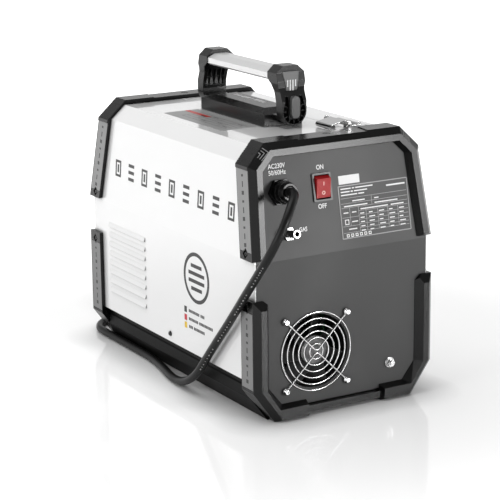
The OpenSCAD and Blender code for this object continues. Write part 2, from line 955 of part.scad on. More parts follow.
// Coil: in along the floor, up half a turn at the middle, and out again on top
coil_c = [-30, -314.2];
coil_in_r = 63.7 - coil_step * (coil_turns / 2);
low_turn_z = 5.9;
coil_layer = 10.7;
ring_step = 15;
turn_mid = coil_turns * 180;
function ease(t) = t < 0 ? 0 : t > 1 ? 1 : t * t * (3 - 2 * t);
function coil_r(a) = coil_in_r + coil_step * abs(a - turn_mid) / 360;
function coil_z(a) = low_turn_z + coil_layer * ease((a - turn_mid + 90) / 180)
  + 3 * ease((a - 2 * turn_mid + 200) / 200);
function coil_at(a) = [coil_c[0] - coil_r(a) * sin(a), coil_c[1] + coil_r(a) * cos(a), coil_z(a)];
tail_z = coil_z(2 * turn_mid);
tail_y = coil_c[1] + 63.7;
plug_x = -92;
COIL = concat(
  [[coil_c[0] + 10, coil_c[1] + 63.7, low_turn_z]],
  [for (a = [0:ring_step:2 * turn_mid]) coil_at(a)],
  [for (x = [-45, -60, -76, plug_x]) [x, tail_y, tail_z]]);

// Least gap between one turn of the coil and another, measured on the ring centres
coil_gap = min([for (i = [0:len(COIL) - 1]) for (j = [i + 10:1:len(COIL) - 1])
  norm(COIL[i] - COIL[j])]) - cord_d;
echo(coil_gap = coil_gap);

module mains_coil() {
  color([0.11, 0.11, 0.11])
    tube(COIL, cord_d / 2, 6, [0, 1, 0]);
}

// Strap that holds the turns together
module cord_tie() {
  // Both layers have one inner and one outer turn on this side
  low_r = coil_r(turn_mid - 180) - cord_d / 2 - 1;
  high_r = coil_r(turn_mid - 540) + cord_d / 2 - 0.1;
  strap_t = 0.8;
  color([0.2, 0.2, 0.2])
    translate([coil_c[0], coil_c[1], 0])
      rotate([0, 0, 180])
        difference() {
          block(-9, 9, low_r - strap_t, high_r + strap_t, 0.1, 22.6);
          block(-10, 10, low_r, high_r, 0.1 + strap_t, 22.6 - strap_t);
        }
}

// Two-pin earthed plug, lying beside the coil
module mains_plug() {
  body_r = 18.6;
  color([0.1, 0.1, 0.1])
    translate([plug_x, tail_y, tail_z])
      rotate([0, -90, 0])
        difference() {
          union() {
            rotate_extrude()
              polygon([[0, 0], [6.4, 0], [7.2, 20], [13, 24], [17.5, 30], [body_r, 36],
                [body_r, 52], [17.8, 56], [0, 56]]);
            for (s = [-1, 1])
              translate([0, s * 9.5, 55])
                cylinder(r = 2.4, h = 20);
          }
          for (s = [-1, 1])
            translate([s * 17.4 - 2, -4, 38])
              cube([4, 8, 20]);
        }
}

// ---------- rear fittings ----------

// Bezel and body of the power switch
module switch_housing() {
  color([0.2, 0.2, 0.2])
    on_rear(switch_x, switch_z)
      difference() {
        union() {
          translate([0, 0.05, 0])
            round_plate(25, 32.4, 1.5, 2);
          block(-11, 11, -24, 0.5, -14.4, 14.4);
          for (x = [-6, 0, 6])
            block(x - 0.4, x + 0.4, -31, -23, -3.2, 3.2);
        }
        block(-9.9, 9.9, -13, 5, -13.9, 13.9);
        translate([-12, -2, 0])
          rod_x(rocker_pin_r + 0.06, 24);
      }
}

rocker_tilt = 12;
rocker_pin_r = 1.4;

// Rocker on two short pins that turn in the sides of its housing
module switch_rocker() {
  color([0.72, 0.06, 0.08])
    on_rear(switch_x, switch_z)
      translate([0, -2, 0])
        union() {
          rotate([-rocker_tilt, 0, 0])
            yz([[-4, 12.5], [0.5, 13.2], [6.6, 11], [6.6, -11], [0.5, -13.2], [-4, -12.5]], -9.4,
              9.4);
          translate([-10.7, 0, 0])
            rod_x(rocker_pin_r, 21.4);
        }
}

// Hose barb for the gas supply, with its hexagon and inner thread
module gas_inlet() {
  color([0.85, 0.85, 0.87])
    on_rear(gas_x, gas_z)
      difference() {
        union() {
          translate([0, 0.05, 0])
            rotate([-90, 0, 0])
              cylinder(r = 8, h = 5, $fn = 6);
          translate([0, -14, 0])
            rod_y(5, 15);
          translate([0, -6, 0])
            rotate([-90, 0, 0])
              cylinder(r = 8, h = 4, $fn = 6);
          translate([0, 5, 0])
            rod_y(3.7, 16);
          for (y = [8, 12.5])
            translate([0, y, 0])
              rotate([-90, 0, 0])
                cylinder(r1 = 4.5, r2 = 3.7, h = 3.6);
          translate([0, 17, 0])
            rod_y(4.8, 4);
        }
        translate([0, -20, 0])
          rod_y(2.8, 45);
      }
}

// Inner gas line: from the inlet along the divider to the valve and the torch socket
module gas_hose() {
  color([0.15, 0.25, 0.5])
    union() {
      difference() {
        translate([torch_x, -178, torch_z])
          rod_y(4.5, 62);
        translate([torch_x, -179, torch_z])
          rod_y(3, 64);
      }
      difference() {
        translate([torch_x, -44, torch_z])
          rod_y(4.5, 190);
        translate([torch_x, -45, torch_z])
          rod_y(3, 192);
      }
    }
}

// Solenoid valve in the gas line, in the door's compartment
module solenoid_valve() {
  color([0.2, 0.2, 0.22])
    union() {
      block(torch_x - 13, torch_x + 13, -112, -48, torch_z - 11, torch_z + 11);
      translate([torch_x, -80, torch_z + 11])
        cylinder(r = 9, h = 6);
      block(torch_x - 14, torch_x + 14, -97, -63, torch_z + 17, torch_z + 49);
      translate([torch_x, -80, torch_z + 49])
        cylinder(r = 5, h = 4);
      translate([torch_x, -115.5, torch_z])
        rod_y(5.5, 4);
      translate([torch_x, -48.5, torch_z])
        rod_y(5.5, 4);
      block(torch_x + 12.5, -21, -90, -70, torch_z - 6, torch_z + 6);
    }
}

// ---------- fan ----------

module fan_frame() {
  d = 25;
  hub_r = 17;
  color([0.12, 0.12, 0.12])
    translate([fan_x, panel_y - panel_t - 0.1 - d, fan_z])
      difference() {
        union() {
          difference() {
            round_plate(fan_size, fan_size, 5, d);
            translate([0, -1, 0])
              rod_y(43.5, d + 2);
          }
          rod_y(hub_r, 4);
          for (a = [45:90:315])
            rotate([0, a, 0])
              block(hub_r - 1, 44.5, 0, 3, -2, 2);
          rod_y(2, 20);
        }
        for (x = [-1, 1])
          for (z = [-1, 1])
            translate([x * fan_pitch / 2, -1, z * fan_pitch / 2])
              rod_y(2.3, d + 2);
      }
}

// One flat pitched blade, trimmed to the rotor's tip circle
module fan_blade() {
  intersection() {
    difference() {
      rod_y(42, 18);
      translate([0, -1, 0])
        rod_y(16.5, 20);
    }
    translate([29, 9, 0])
      rotate([38, 0, 0])
        cube([40, 1.6, 24], center = true);
  }
}

module fan_rotor() {
  d = 25;
  color([0.1, 0.1, 0.1])
    translate([fan_x, panel_y - panel_t - 0.1 - d + 4.6, fan_z])
      difference() {
        union() {
          rod_y(17.5, 18);
          for (i = [0:blade_count - 1])
            rotate([0, i * 360 / blade_count, 0])
              fan_blade();
        }
        translate([0, -1, 0])
          rod_y(2.06, 17.5);
      }
}

// Chromed wire guard: rings, four spokes and their eyelets
module fan_guard() {
  wire = 0.9;
  ring_y = panel_y + 1.1;
  spoke_y = panel_y + 2.4;
  ring_pitch = 7.5;
  color([0.9, 0.9, 0.9])
    translate([fan_x, 0, fan_z])
      union() {
        for (i = [0:ring_count - 1])
          translate([0, ring_y, 0])
            rotate([90, 0, 0])
              rotate_extrude()
                translate([46.5 - i * ring_pitch, 0])
                  circle(r = wire, $fn = 16);
        for (a = [45:90:315])
          rotate([0, a, 0]) {
            translate([5, spoke_y, 0])
              rod_x(wire, 50.2);
            translate([fan_pitch / sqrt(2), spoke_y - 0.3, 0])
              rotate([90, 0, 0])
                rotate_extrude()
                  translate([3.4, 0])
                    circle(r = wire, $fn = 16);
          }
      }
}

module fan_screws() {
  color([0.88, 0.88, 0.88])
    for (x = [-1, 1])
      for (z = [-1, 1])
        translate([fan_x + x * fan_pitch / 2, panel_y + 3.2, fan_z + z * fan_pitch / 2])
          union() {
            difference() {
              rotate([-90, 0, 0])
                cylinder(r1 = 4.3, r2 = 2.6, h = 2.6);
              translate([0, 1.6, 0])
                rotate([-90, 0, 0])
                  cylinder(r = 1.5, h = 2, $fn = 6);
            }
            translate([0, -33, 0])
              rod_y(2, 33.2);
            translate([0, -33, 0])
              rotate([-90, 0, 0])
                cylinder(r = 4, h = 3, $fn = 6);
          }
}

// Earth terminal: stud, washers and nut
module earth_stud() {
  color([0.86, 0.86, 0.86])
    translate([stud_x, panel_y + 0.05, stud_z])
      union() {
        rod_y(6.2, 1);
        translate([0, 1, 0])
          rod_y(5.4, 1.2);
        translate([0, 2.1, 0])
          rotate([-90, 0, 0])
            cylinder(r = 4.9, h = 3.4, $fn = 6);
        translate([0, -12, 0])
          rod_y(2.9, 19.4);
        translate([0, -6, 0])
          rotate([-90, 0, 0])
            cylinder(r = 5.5, h = 4.2, $fn = 6);
      }
}

// Data plate and a blank sticker on the rear, a plain label on the top
module labels() {
  color([0.6, 0.6, 0.6]) {
    on_rear(plate_x, plate_z)
      translate([0, 0.05, 0])
        round_plate(95.5, 61, 1, 0.4);
    on_rear(-17, 266.4)
      translate([0, 0.05, 0])
        round_plate(28.5, 10, 1, 0.3);
    block(31, 79, -76, 66, cover_top_z + 0.05, cover_top_z + 0.25);
  }
}

// ---------- front controls and sockets ----------

module control_fascia() {
  color([0.1, 0.1, 0.1])
    on_front(0, fascia_z)
      difference() {
        translate([0, 0.05, 0])
          round_plate(150, 76, 6, 3);
        translate([-8, 1.8, 18])
          round_plate(62, 28, 2, 5);
        translate([knob_x, -1, -12])
          rod_y(4.2, 8);
        for (i = [0, 1])
          translate([button_x + i * button_gap, -1, -18])
            rod_y(6.1, 8);
        for (i = [0:2])
          translate([-62, -1, 28 - i * 10])
            rod_y(2.6, 8);
      }
}

module display_window() {
  color([0.25, 0.05, 0.05])
    on_front(0, fascia_z)
      translate([-8, 1.85, 18])
        round_plate(61.6, 27.6, 1.8, 1.4);
}

// Fluted knob that sets the cutting current
module current_knob() {
  color([0.15, 0.15, 0.15])
    on_front(knob_x, fascia_z)
      translate([0, 0, -12])
        difference() {
          union() {
            translate([0, 3.6, 0])
              rotate([-90, 0, 0])
                cylinder(r1 = 17, r2 = 15, h = 4);
            translate([0, 7.5, 0])
              rotate([-90, 0, 0])
                cylinder(r1 = 13.5, r2 = 12.5, h = 12);
            translate([0, -6, 0])
              rod_y(3.4, 12);
          }
          for (a = [0:30:330])
            rotate([0, a, 0])
              translate([14.2, 9, 0])
                rod_y(1.8, 12);
          translate([-0.6, 19, 4])
            cube([1.2, 2, 9]);
        }
}

module push_button(i) {
  on_front(button_x + i * button_gap, fascia_z)
    translate([0, 0, -18])
      union() {
        translate([0, -4.5, 0])
          rod_y(5.6, 10);
        translate([0, 5.4, 0])
          rotate([-90, 0, 0])
            cylinder(r1 = 5.6, r2 = 4.8, h = 0.9);
      }
}

module mode_button() {
  color([0.75, 0.75, 0.75])
    push_button(0);
}

module test_button() {
  color([0.75, 0.75, 0.75])
    push_button(1);
}

module status_lamps() {
  color([0.2, 0.8, 0.3])
    on_front(0, fascia_z)
      for (i = [0:2])
        translate([-62, 0.2, 28 - i * 10])
          union() {
            rod_y(2.4, 3);
            translate([0, 3.1, 0])
              sphere(r = 2.3);
          }
}

// Puts children on the lower front panel at (x, z), with local +Y outwards
module on_low_front(x, z) {
  translate([x, -panel_y, z])
    rotate([0, 0, 180])
      children();
}

// Socket of the plasma torch: flange, threaded collar, bore and gas outlet
module torch_socket() {
  color([0.15, 0.15, 0.15])
    on_low_front(torch_x, torch_z)
      difference() {
        union() {
          translate([0, 0.05, 0])
            round_plate(50, 50, 6, 4);
          translate([0, 3.9, 0])
            rod_y(18.5, 12.3);
          translate([0, -20, 0])
            rod_y(17, 21);
          for (y = [6.5:3.5:14])
            translate([0, y, 0])
              rod_y(19.3, 1.6);
          translate([0, -25.1, 0])
            rod_y(5.4, 6);
        }
        translate([0, 3, 0])
          rod_y(12.5, 30);
        translate([0, -30, 0])
          rod_y(2.5, 40);
      }
}

// Socket of the earth clamp's lead
module earth_socket() {
  color([0.55, 0.35, 0.15])
    on_low_front(earth_x, earth_z)
      difference() {
        union() {
          translate([0, 0.05, 0])
            rod_y(19, 5);
          translate([0, 5, 0])
            rotate([-90, 0, 0])
              cylinder(r1 = 17, r2 = 15, h = 11);
          translate([0, -24, 0])
            rod_y(13, 25);
        }
        translate([0, -14, 0])
          rod_y(6.6, 40);
        block(-1.6, 1.6, -14, 20, 0, 9.5);
      }
}

// Two-pin socket of the torch trigger
module control_socket() {
  color([0.7, 0.7, 0.72])
    on_low_front(ctrl_x, ctrl_z)
      union() {
        difference() {
          union() {
            translate([0, 0.05, 0])
              rotate([-90, 0, 0])
                cylinder(r = 12, h = 3, $fn = 6);
            translate([0, 3, 0])
              rod_y(8.8, 9);
            translate([0, -10, 0])
              rod_y(8, 11);
          }
          translate([0, 3, 0])
            rod_y(7.2, 12);
        }
        for (s = [-1, 1])
          translate([s * 3, 2.5, 0])
            rod_y(1, 7.5);
      }
}

// ---------- inside ----------

// Upright plate between the electronics and the door's compartment
module divider_plate() {
  color([0.6, 0.6, 0.62])
    union() {
      intersection() {
        body_slab(199, 14.5, 296, -21, -19.5);
        block(-25, -15, -160, 200, 10, 300);
      }
      block(-30, -19.6, -160, 190, 14.5, 16);
    }
}

// Main circuit board, level, on six posts from the tray
module power_board() {
  color([0.05, 0.3, 0.12])
    union() {
      block(-12, 96, -165, 160, 150, 151.8);
      for (x = [-6, 90])
        for (y = [-150, 0, 150])
          translate([x, y, 14.4])
            cylinder(r = 4, h = 136, $fn = 24);
    }
}

// Two finned heat sinks under the board, in the fan's air
module heat_sinks() {
  color([0.72, 0.72, 0.74])
    for (x0 = [4, 50])
      union() {
        block(x0, x0 + 32, -100, 130, 132, 139);
        for (i = [0:6])
          block(x0 + i * 5, x0 + i * 5 + 1.8, -100, 130, 80, 133);
      }
}

// Transistors and bridge rectifiers between the heat sinks and the board
module power_modules() {
  color([0.12, 0.12, 0.13])
    for (x = [20, 66]) {
      for (y = [-85:28:60])
        block(x - 8, x + 8, y - 10, y + 10, 139.1, 149.8);
      block(x - 14, x + 14, 85, 120, 139.1, 149.8);
    }
}

module capacitors() {
  color([0.1, 0.12, 0.25])
    for (x = [14, 52])
      for (y = [85, 125])
        translate([x, y, 151.9])
          difference() {
            cylinder(r = 17, h = 50);
            translate([0, 0, 49.2])
              cylinder(r = 14, h = 2);
          }
}

// Ferrite transformer with its winding on a bobbin
module transformer() {
  color([0.25, 0.22, 0.2])
    union() {
      difference() {
        block(8, 76, -50, 12, 151.9, 216);
        block(20, 64, -60, 20, 164, 204);
      }
      block(34, 50, -50, 12, 160, 210);
      block(22, 62, -58, 20, 166, 202);
    }
}

// Toroidal choke in the output lead
module output_choke() {
  color([0.55, 0.3, 0.12])
    translate([42, -108, 178])
      rotate([0, 90, 0])
        rotate_extrude()
          translate([17.5, 0])
            circle(r = 8.5);
}

// Small board behind the front controls
module control_board() {
  color([0.05, 0.3, 0.12])
    on_front(0, fascia_z)
      union() {
        block(-58, 70, -14, -12.4, -32, 32);
        block(-38, 22, -12.5, -1, 8, 22);
      }
}

base_tray();
side_rails();
cover();
side_door();
hinge_leaf_frame();
hinge_leaf_door();
hinge_pin();
rear_panel();
front_panel();
upper_guard_rear();
upper_guard_front();
lower_guard_rear();
lower_guard_front();
upper_inlays();
lower_inlays();
casing_screws();
handle_base();
handle_bracket_rear();
handle_bracket_front();
handle_grip();
handle_inserts();
latch_base();
latch_lever();
latch_bail();
latch_keeper();
gland_body();
gland_nut();
cord_sleeve();
mains_cord();
mains_coil();
cord_tie();
mains_plug();
switch_housing();
switch_rocker();
gas_inlet();
gas_hose();
solenoid_valve();
fan_frame();
fan_rotor();
fan_guard();
fan_screws();
earth_stud();
labels();
control_fascia();
display_window();
current_knob();
mode_button();
test_button();
status_lamps();
torch_socket();
earth_socket();
control_socket();
divider_plate();
power_board();
heat_sinks();
power_modules();
capacitors();
transformer();
output_choke();
control_board();
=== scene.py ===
from math import atan, cos, pi, radians, sin, sqrt

import bmesh
import bpy
from mathutils import Matrix, Vector


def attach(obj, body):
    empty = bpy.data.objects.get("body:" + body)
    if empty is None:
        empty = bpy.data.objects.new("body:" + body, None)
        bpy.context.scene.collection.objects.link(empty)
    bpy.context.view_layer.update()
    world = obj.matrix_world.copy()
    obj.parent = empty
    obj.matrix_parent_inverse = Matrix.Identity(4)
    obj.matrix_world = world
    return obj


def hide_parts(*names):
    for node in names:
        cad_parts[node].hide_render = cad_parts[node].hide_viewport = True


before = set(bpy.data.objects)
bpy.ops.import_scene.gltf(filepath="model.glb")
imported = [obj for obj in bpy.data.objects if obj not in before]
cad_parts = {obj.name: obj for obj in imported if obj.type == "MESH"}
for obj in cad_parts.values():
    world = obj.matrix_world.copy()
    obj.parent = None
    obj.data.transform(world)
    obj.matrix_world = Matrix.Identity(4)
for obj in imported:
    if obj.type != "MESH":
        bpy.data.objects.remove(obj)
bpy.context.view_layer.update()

# ---------- camera ----------
# A long lens at hip height, behind and to the louvred side of the machine. It turns a little about
# its own axis, as a camera on a tripod does.

TARGET = Vector((0.0035, 0.0, 0.145))
AZIMUTH = radians(149.589)
ELEVATION = radians(14.445)
ROLL = radians(-0.628)
DISTANCE = 2.2535
LENS = 131.15

backwards = Vector((sin(AZIMUTH) * cos(ELEVATION), -cos(AZIMUTH) * cos(ELEVATION), sin(ELEVATION)))
level = Vector((0, 0, 1)).cross(backwards).normalized()
upright = backwards.cross(level)
right = level * cos(ROLL) + upright * sin(ROLL)
upward = upright * cos(ROLL) - level * sin(ROLL)
camera = bpy.data.objects.new("camera", bpy.data.cameras.new("camera"))
camera.data.lens = LENS
camera.data.clip_end = 30
camera.matrix_world = Matrix.Translation(TARGET + backwards * DISTANCE) @ Matrix(
    (right, upward, backwards)).transposed().to_4x4()
bpy.context.scene.collection.objects.link(camera)
bpy.context.scene.camera = camera
bpy.context.scene.view_settings.view_transform = "Standard"

# ---------- mains lead ----------
# One rubber lead of three cores, drawn as a single round cable from inside the gland to the plug.
# It drops past the casing, runs along the floor beside it and is coiled and tied at the front.

MM = 0.001
LEAD_D = 10 * MM
ROUTE = [
    (75, 200, 264.6), (75, 211, 266.6), (77, 220.5, 267.7), (83, 232.5, 267.2),
    (93.5, 244.5, 262.5), (104, 253.5, 253), (113, 257.5, 240), (120.5, 256.5, 226),
    (125.5, 251.5, 212), (128.5, 243.5, 199), (129.5, 233.5, 187), (129.5, 218, 170),
    (129, 202, 153.5), (128.5, 186, 136.5), (127.5, 170, 120.5), (127, 154, 104),
    (126.5, 136, 86), (126.5, 118, 67), (126.5, 100, 47.5), (126.5, 86, 33), (126.5, 70, 20.5),
    (126, 52, 11.5), (125, 33, 6.5), (123, 12, 5.2), (119, -9, 5.2), (114.5, -31, 5.2),
    (111, -54, 5.2), (109, -78, 5.2), (108.5, -102, 5.2), (108.5, -154, 5.2),
    (108.5, -206, 5.2), (105, -224, 5.2), (96, -238, 5.2), (83, -247, 5.2), (66, -250.5, 5.2),
    (42, -250.5, 5.2), (16, -250.5, 5.5), (-10, -250.5, 5.9), (-20, -250.5, 5.9)]
COIL_CENTRE = (-30, -314.2)
COIL_OUT_R = 63.7
COIL_STEP = 10.7
COIL_TURNS = 4
COIL_ARC = 15
LOW_TURN_Z = 5.9
END_LIFT = 3
TAIL_X = (-45, -60, -76, -92)


def ease(t):
    """From 0 to 1, with a soft start and a soft end."""
    t = min(max(t, 0), 1)
    return t * t * (3 - 2 * t)


def coil_at(a):
    """A point a degrees along the coil: half its turns go in below, half come out on top."""
    middle = COIL_TURNS * 180
    r = COIL_OUT_R - COIL_STEP * (COIL_TURNS / 2 - abs(a - middle) / 360)
    climb = COIL_STEP * ease((a - middle + 90) / 180)
    end_lift = END_LIFT * ease((a - 2 * middle + 200) / 200)
    return (COIL_CENTRE[0] - r * sin(radians(a)), COIL_CENTRE[1] + r * cos(radians(a)),
            LOW_TURN_Z + climb + end_lift)


def through(points, steps):
    """A smooth line through the points, with steps stretches between each two of them."""
    last = len(points) - 1
    line = []
    for i in range(last):
        p0, p1, p2, p3 = (Vector(points[min(max(k, 0), last)]) for k in range(i - 1, i + 3))
        for s in range(steps):
            t = s / steps
            line.append(0.5 * (2 * p1 + (p2 - p0) * t + (2 * p0 - 5 * p1 + 4 * p2 - p3) * t ** 2
                               + (3 * p1 - p0 - 3 * p2 + p3) * t ** 3))
    return line + [Vector(points[-1])]


coil = [coil_at(a) for a in range(COIL_ARC, COIL_TURNS * 360 + 1, COIL_ARC)]
tail = [(x, coil[-1][1], coil[-1][2]) for x in TAIL_X]
lead_line = [p * MM for p in through(ROUTE + coil + tail, 4)]


def node_tree(name):
    """A new material with its tree and its shader, joined to the output."""
    material = bpy.data.materials.new(name)
    material.use_nodes = True
    tree = material.node_tree
    tree.nodes.clear()
    shader = tree.nodes.new("ShaderNodeBsdfPrincipled")
    output = tree.nodes.new("ShaderNodeOutputMaterial")
    tree.links.new(shader.outputs[0], output.inputs[0])
    return material, tree, shader


def srgb(*values):
    """Colour values from 0 to 255 as the shader wants them."""
    out = [(v / 255 / 12.92 if v < 10.3 else ((v / 255 + 0.055) / 1.055) ** 2.4) for v in values]
    return (*(out * 3 if len(out) == 1 else out), 1)


def group(name, inputs, outputs):
    """An empty surface effect: its tree, and the nodes for what it is given and puts out."""
    tree = bpy.data.node_groups.new(name, "ShaderNodeTree")
    for label, value in inputs:
        socket = tree.interface.new_socket(label, in_out="INPUT", socket_type="NodeSocketFloat")
        socket.default_value = value
    for label in outputs:
        tree.interface.new_socket(label, in_out="OUTPUT", socket_type="NodeSocketFloat")
    return tree, tree.nodes.new("NodeGroupInput"), tree.nodes.new("NodeGroupOutput")


def add(tree, kind, values=None, **settings):
    """A node of a kind, with its settings, and its inputs set to values or linked to sockets."""
    node = tree.nodes.new("ShaderNode" + kind)
    for key, value in settings.items():
        setattr(node, key, value)
    for key, value in (values or {}).items():
        if isinstance(value, bpy.types.NodeSocket):
            tree.links.new(value, node.inputs[key])
        else:
            node.inputs[key].default_value = value
    return node


# Surface effect: the fine grain of a mould or of sprayed paint, as a height and a light mottle
grain_group, given, put = group("grain", [("Scale", 900.0)], ["Height", "Mottle"])
where = add(grain_group, "TexCoord").outputs["Object"]
fine = add(grain_group, "TexNoise", {"Vector": where, "Scale": given.outputs["Scale"],
                                     "Detail": 4.0, "Roughness": 0.6})
broad = add(grain_group, "TexNoise", {"Vector": where, "Scale": 14.0, "Detail": 5.0})
grain_group.links.new(fine.outputs["Fac"], put.inputs["Height"])
grain_group.links.new(broad.outputs["Fac"], put.inputs["Mottle"])

# Surface effect: rubbed edges, strongest on outer corners and broken up by noise
wear_group, given, put = group("edge_wear", [("Amount", 0.5)], ["Mask"])
shape = add(wear_group, "NewGeometry")
edge = add(wear_group, "MapRange", {"Value": shape.outputs["Pointiness"], "From Min": 0.53,
                                    "From Max": 0.62})
where = add(wear_group, "TexCoord").outputs["Object"]
broken = add(wear_group, "TexNoise", {"Vector": where, "Scale": 160.0, "Detail": 3.0})
rubbed = add(wear_group, "Math", {0: edge.outputs[0], 1: broken.outputs["Fac"]},
             operation="MULTIPLY")
scaled = add(wear_group, "Math", {0: rubbed.outputs[0], 1: given.outputs["Amount"]},
             operation="MULTIPLY")
wear_group.links.new(scaled.outputs[0], put.inputs["Mask"])

# Painted shade in a crease: how far round a point is looked at, and how open the air there is
# where the painted shade is full and where it is gone
CREASE_SHADE_REACH = 8 * MM
SHUT_IN = 0.45
OPEN_AIR = 0.95


def soft_edge(tree, bump, radius):
    """Lets edges catch the light as if they were rounded by a radius in millimetres."""
    rounded = add(tree, "Bevel", {"Radius": radius * MM}, samples=6)
    tree.links.new(rounded.outputs[0], bump.inputs["Normal"])


def finish(name, colour, roughness, grain=900.0, depth=0.1, metallic=0.0, wear=0.0, worn=None,
           mottle=0.06, rough_spread=0.08, coat=0.0, coat_roughness=0.1, specular=0.5, edge=0.5,
           crease_shade=None):
    """A moulded, painted or cast surface: its colour, grain, mottle, rubbed and softened edges, and
    the painted shade that darkens its creases towards a given colour."""
    material, tree, shader = node_tree(name)
    surface = add(tree, "Group", node_tree=grain_group)
    surface.inputs["Scale"].default_value = grain
    darker = tuple(c * (1 - mottle) for c in colour[:3]) + (1,)
    lighter = tuple(min(1, c * (1 + mottle)) for c in colour[:3]) + (1,)
    tone = add(tree, "Mix", {0: surface.outputs["Mottle"], 6: darker, 7: lighter}, data_type="RGBA")
    result = tone.outputs[2]
    if wear:
        rub = add(tree, "Group", node_tree=wear_group)
        rub.inputs["Amount"].default_value = wear
        over = add(tree, "Mix", {0: rub.outputs["Mask"], 6: result, 7: worn}, data_type="RGBA")
        result = over.outputs[2]
    # Painted shade: the base colour darkens towards the given colour where ambient occlusion finds
    # the point shut in
    if crease_shade:
        corner = add(tree, "AmbientOcclusion", {"Distance": CREASE_SHADE_REACH}, samples=8)
        unshaded = add(tree, "MapRange", {"Value": corner.outputs["AO"], "From Min": SHUT_IN,
                                       "From Max": OPEN_AIR})
        crease_shaded = add(tree, "Mix", {0: unshaded.outputs[0], 6: crease_shade, 7: result}, data_type="RGBA")
        result = crease_shaded.outputs[2]
    tree.links.new(result, shader.inputs["Base Color"])
    spread = add(tree, "MapRange", {"Value": surface.outputs["Mottle"],
                                    "To Min": roughness - rough_spread,
                                    "To Max": roughness + rough_spread})
    tree.links.new(spread.outputs[0], shader.inputs["Roughness"])
    bump = add(tree, "Bump", {"Strength": depth, "Distance": 0.2 * MM,
                              "Height": surface.outputs["Height"]})
    if edge:
        soft_edge(tree, bump, edge)
    tree.links.new(bump.outputs[0], shader.inputs["Normal"])
    shader.inputs["Metallic"].default_value = metallic
    shader.inputs["Coat Weight"].default_value = coat
    shader.inputs["Coat Roughness"].default_value = coat_roughness
    shader.inputs["Specular IOR Level"].default_value = specular
    return material


def two_tone(name, effect, dark, light, roughness, metallic=0.0, tone="Tone", height="Height",
             depth=0.12, rise=0.1, edge=0.0):
    """A surface that runs between two colours and takes its relief from a surface effect."""
    material, tree, shader = node_tree(name)
    surface = add(tree, "Group", node_tree=effect)
    colour = add(tree, "Mix", {0: surface.outputs[tone], 6: dark, 7: light}, data_type="RGBA")
    bump = add(tree, "Bump", {"Strength": depth, "Distance": rise * MM,
                              "Height": surface.outputs[height]})
    if edge:
        soft_edge(tree, bump, edge)
    tree.links.new(colour.outputs[2], shader.inputs["Base Color"])
    tree.links.new(bump.outputs[0], shader.inputs["Normal"])
    shader.inputs["Metallic"].default_value = metallic
    shader.inputs["Roughness"].default_value = roughness
    return material


def ink(name, colour, roughness=0.4):
    """A thin flat print, which has no edges to soften."""
    return finish(name, colour, roughness, depth=0.03, edge=0)


def piece(name, data, material, body="machine"):
    """A new object from a mesh or a bmesh, that rides on a body of the machine."""
    if isinstance(data, bmesh.types.BMesh):
        mesh = bpy.data.meshes.new(name)
        bmesh.ops.recalc_face_normals(data, faces=data.faces)
        data.to_mesh(mesh)
        data.free()
        data = mesh
    data.materials.clear()
    data.materials.append(material)
    thing = bpy.data.objects.new(name, data)
    bpy.context.scene.collection.objects.link(thing)
    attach(thing, body)
    return thing


def paint(material, *nodes):
    """Gives CAD parts a finish."""
    for name in nodes:
        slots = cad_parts[name].data.materials
        slots.clear()
        slots.append(material)


def tube(name, points, r, material):
    """A round wire or cable through points in metres."""
    curve = bpy.data.curves.new(name, "CURVE")
    curve.dimensions = "3D"
    curve.bevel_depth = r
    curve.bevel_resolution = 5
    curve.use_fill_caps = True
    spline = curve.splines.new("POLY")
    spline.points.add(len(points) - 1)
    for point, place in zip(spline.points, points):
        point.co = (*place, 1)
    spline.use_smooth = True
    curve.materials.append(material)
    thing = bpy.data.objects.new(name, curve)
    bpy.context.scene.collection.objects.link(thing)
    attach(thing, "machine")
    return thing


def axes(origin, across, up):
    """A place in metres: x runs across, y up and z out of the surface."""
    return Matrix.Translation(origin) @ Matrix((across, up, across.cross(up))).transposed().to_4x4()


# Thicknesses of prints and films, in millimetres
THICK_INK = 0.1
INK = 0.08
THIN_INK = 0.06
FILM = 0.05


def slab(bm, place, x0, x1, y0, y1, thick=INK):
    """A thin plate in millimetres, put in place by a matrix in metres."""
    corners = [bm.verts.new(place @ (Vector((x, y, z)) * MM))
               for z in (0, thick) for x, y in ((x0, y0), (x1, y0), (x1, y1), (x0, y1))]
    for face in ((3, 2, 1, 0), (4, 5, 6, 7), (0, 1, 5, 4), (1, 2, 6, 5), (2, 3, 7, 6),
                 (3, 0, 4, 7)):
        bm.faces.new([corners[i] for i in face])


lead_rubber = finish("lead_rubber", srgb(16), 0.36, grain=1400.0, depth=0.12, mottle=0.15,
                     specular=0.2, edge=0)
lead = tube("mains_lead", lead_line, LEAD_D / 2, lead_rubber)
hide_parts("mains_cord", "mains_coil")

# A row of pale printed dashes along the lead's outer side, as cable makers mark a metre of it. The
# noughts are the gap before the next group of dashes.
PRINTED = range(36, 76)
PRINT_SIDE = Vector((0.4, 0.88, 0.25))
LEAD_DASHES = (1.6, 0.8, 2.2, 1.2, 0.8, 1.8, 1.2, 2.6, 0, 0)
bm = bmesh.new()
for i, start in enumerate(PRINTED):
    half = LEAD_DASHES[i % len(LEAD_DASHES)] / 2
    here, there = lead_line[start], lead_line[start + 1]
    along = (there - here).normalized()
    out = (PRINT_SIDE - along * PRINT_SIDE.dot(along)).normalized()
    place = axes((here + there) / 2 + out * (LEAD_D / 2 - 0.05 * MM), along, out.cross(along))
    if half:
        slab(bm, place, -half, half, -0.6, 0.6, THICK_INK)
lead_print = piece("lead_print", bm, ink("lead_ink", srgb(175), 0.5))

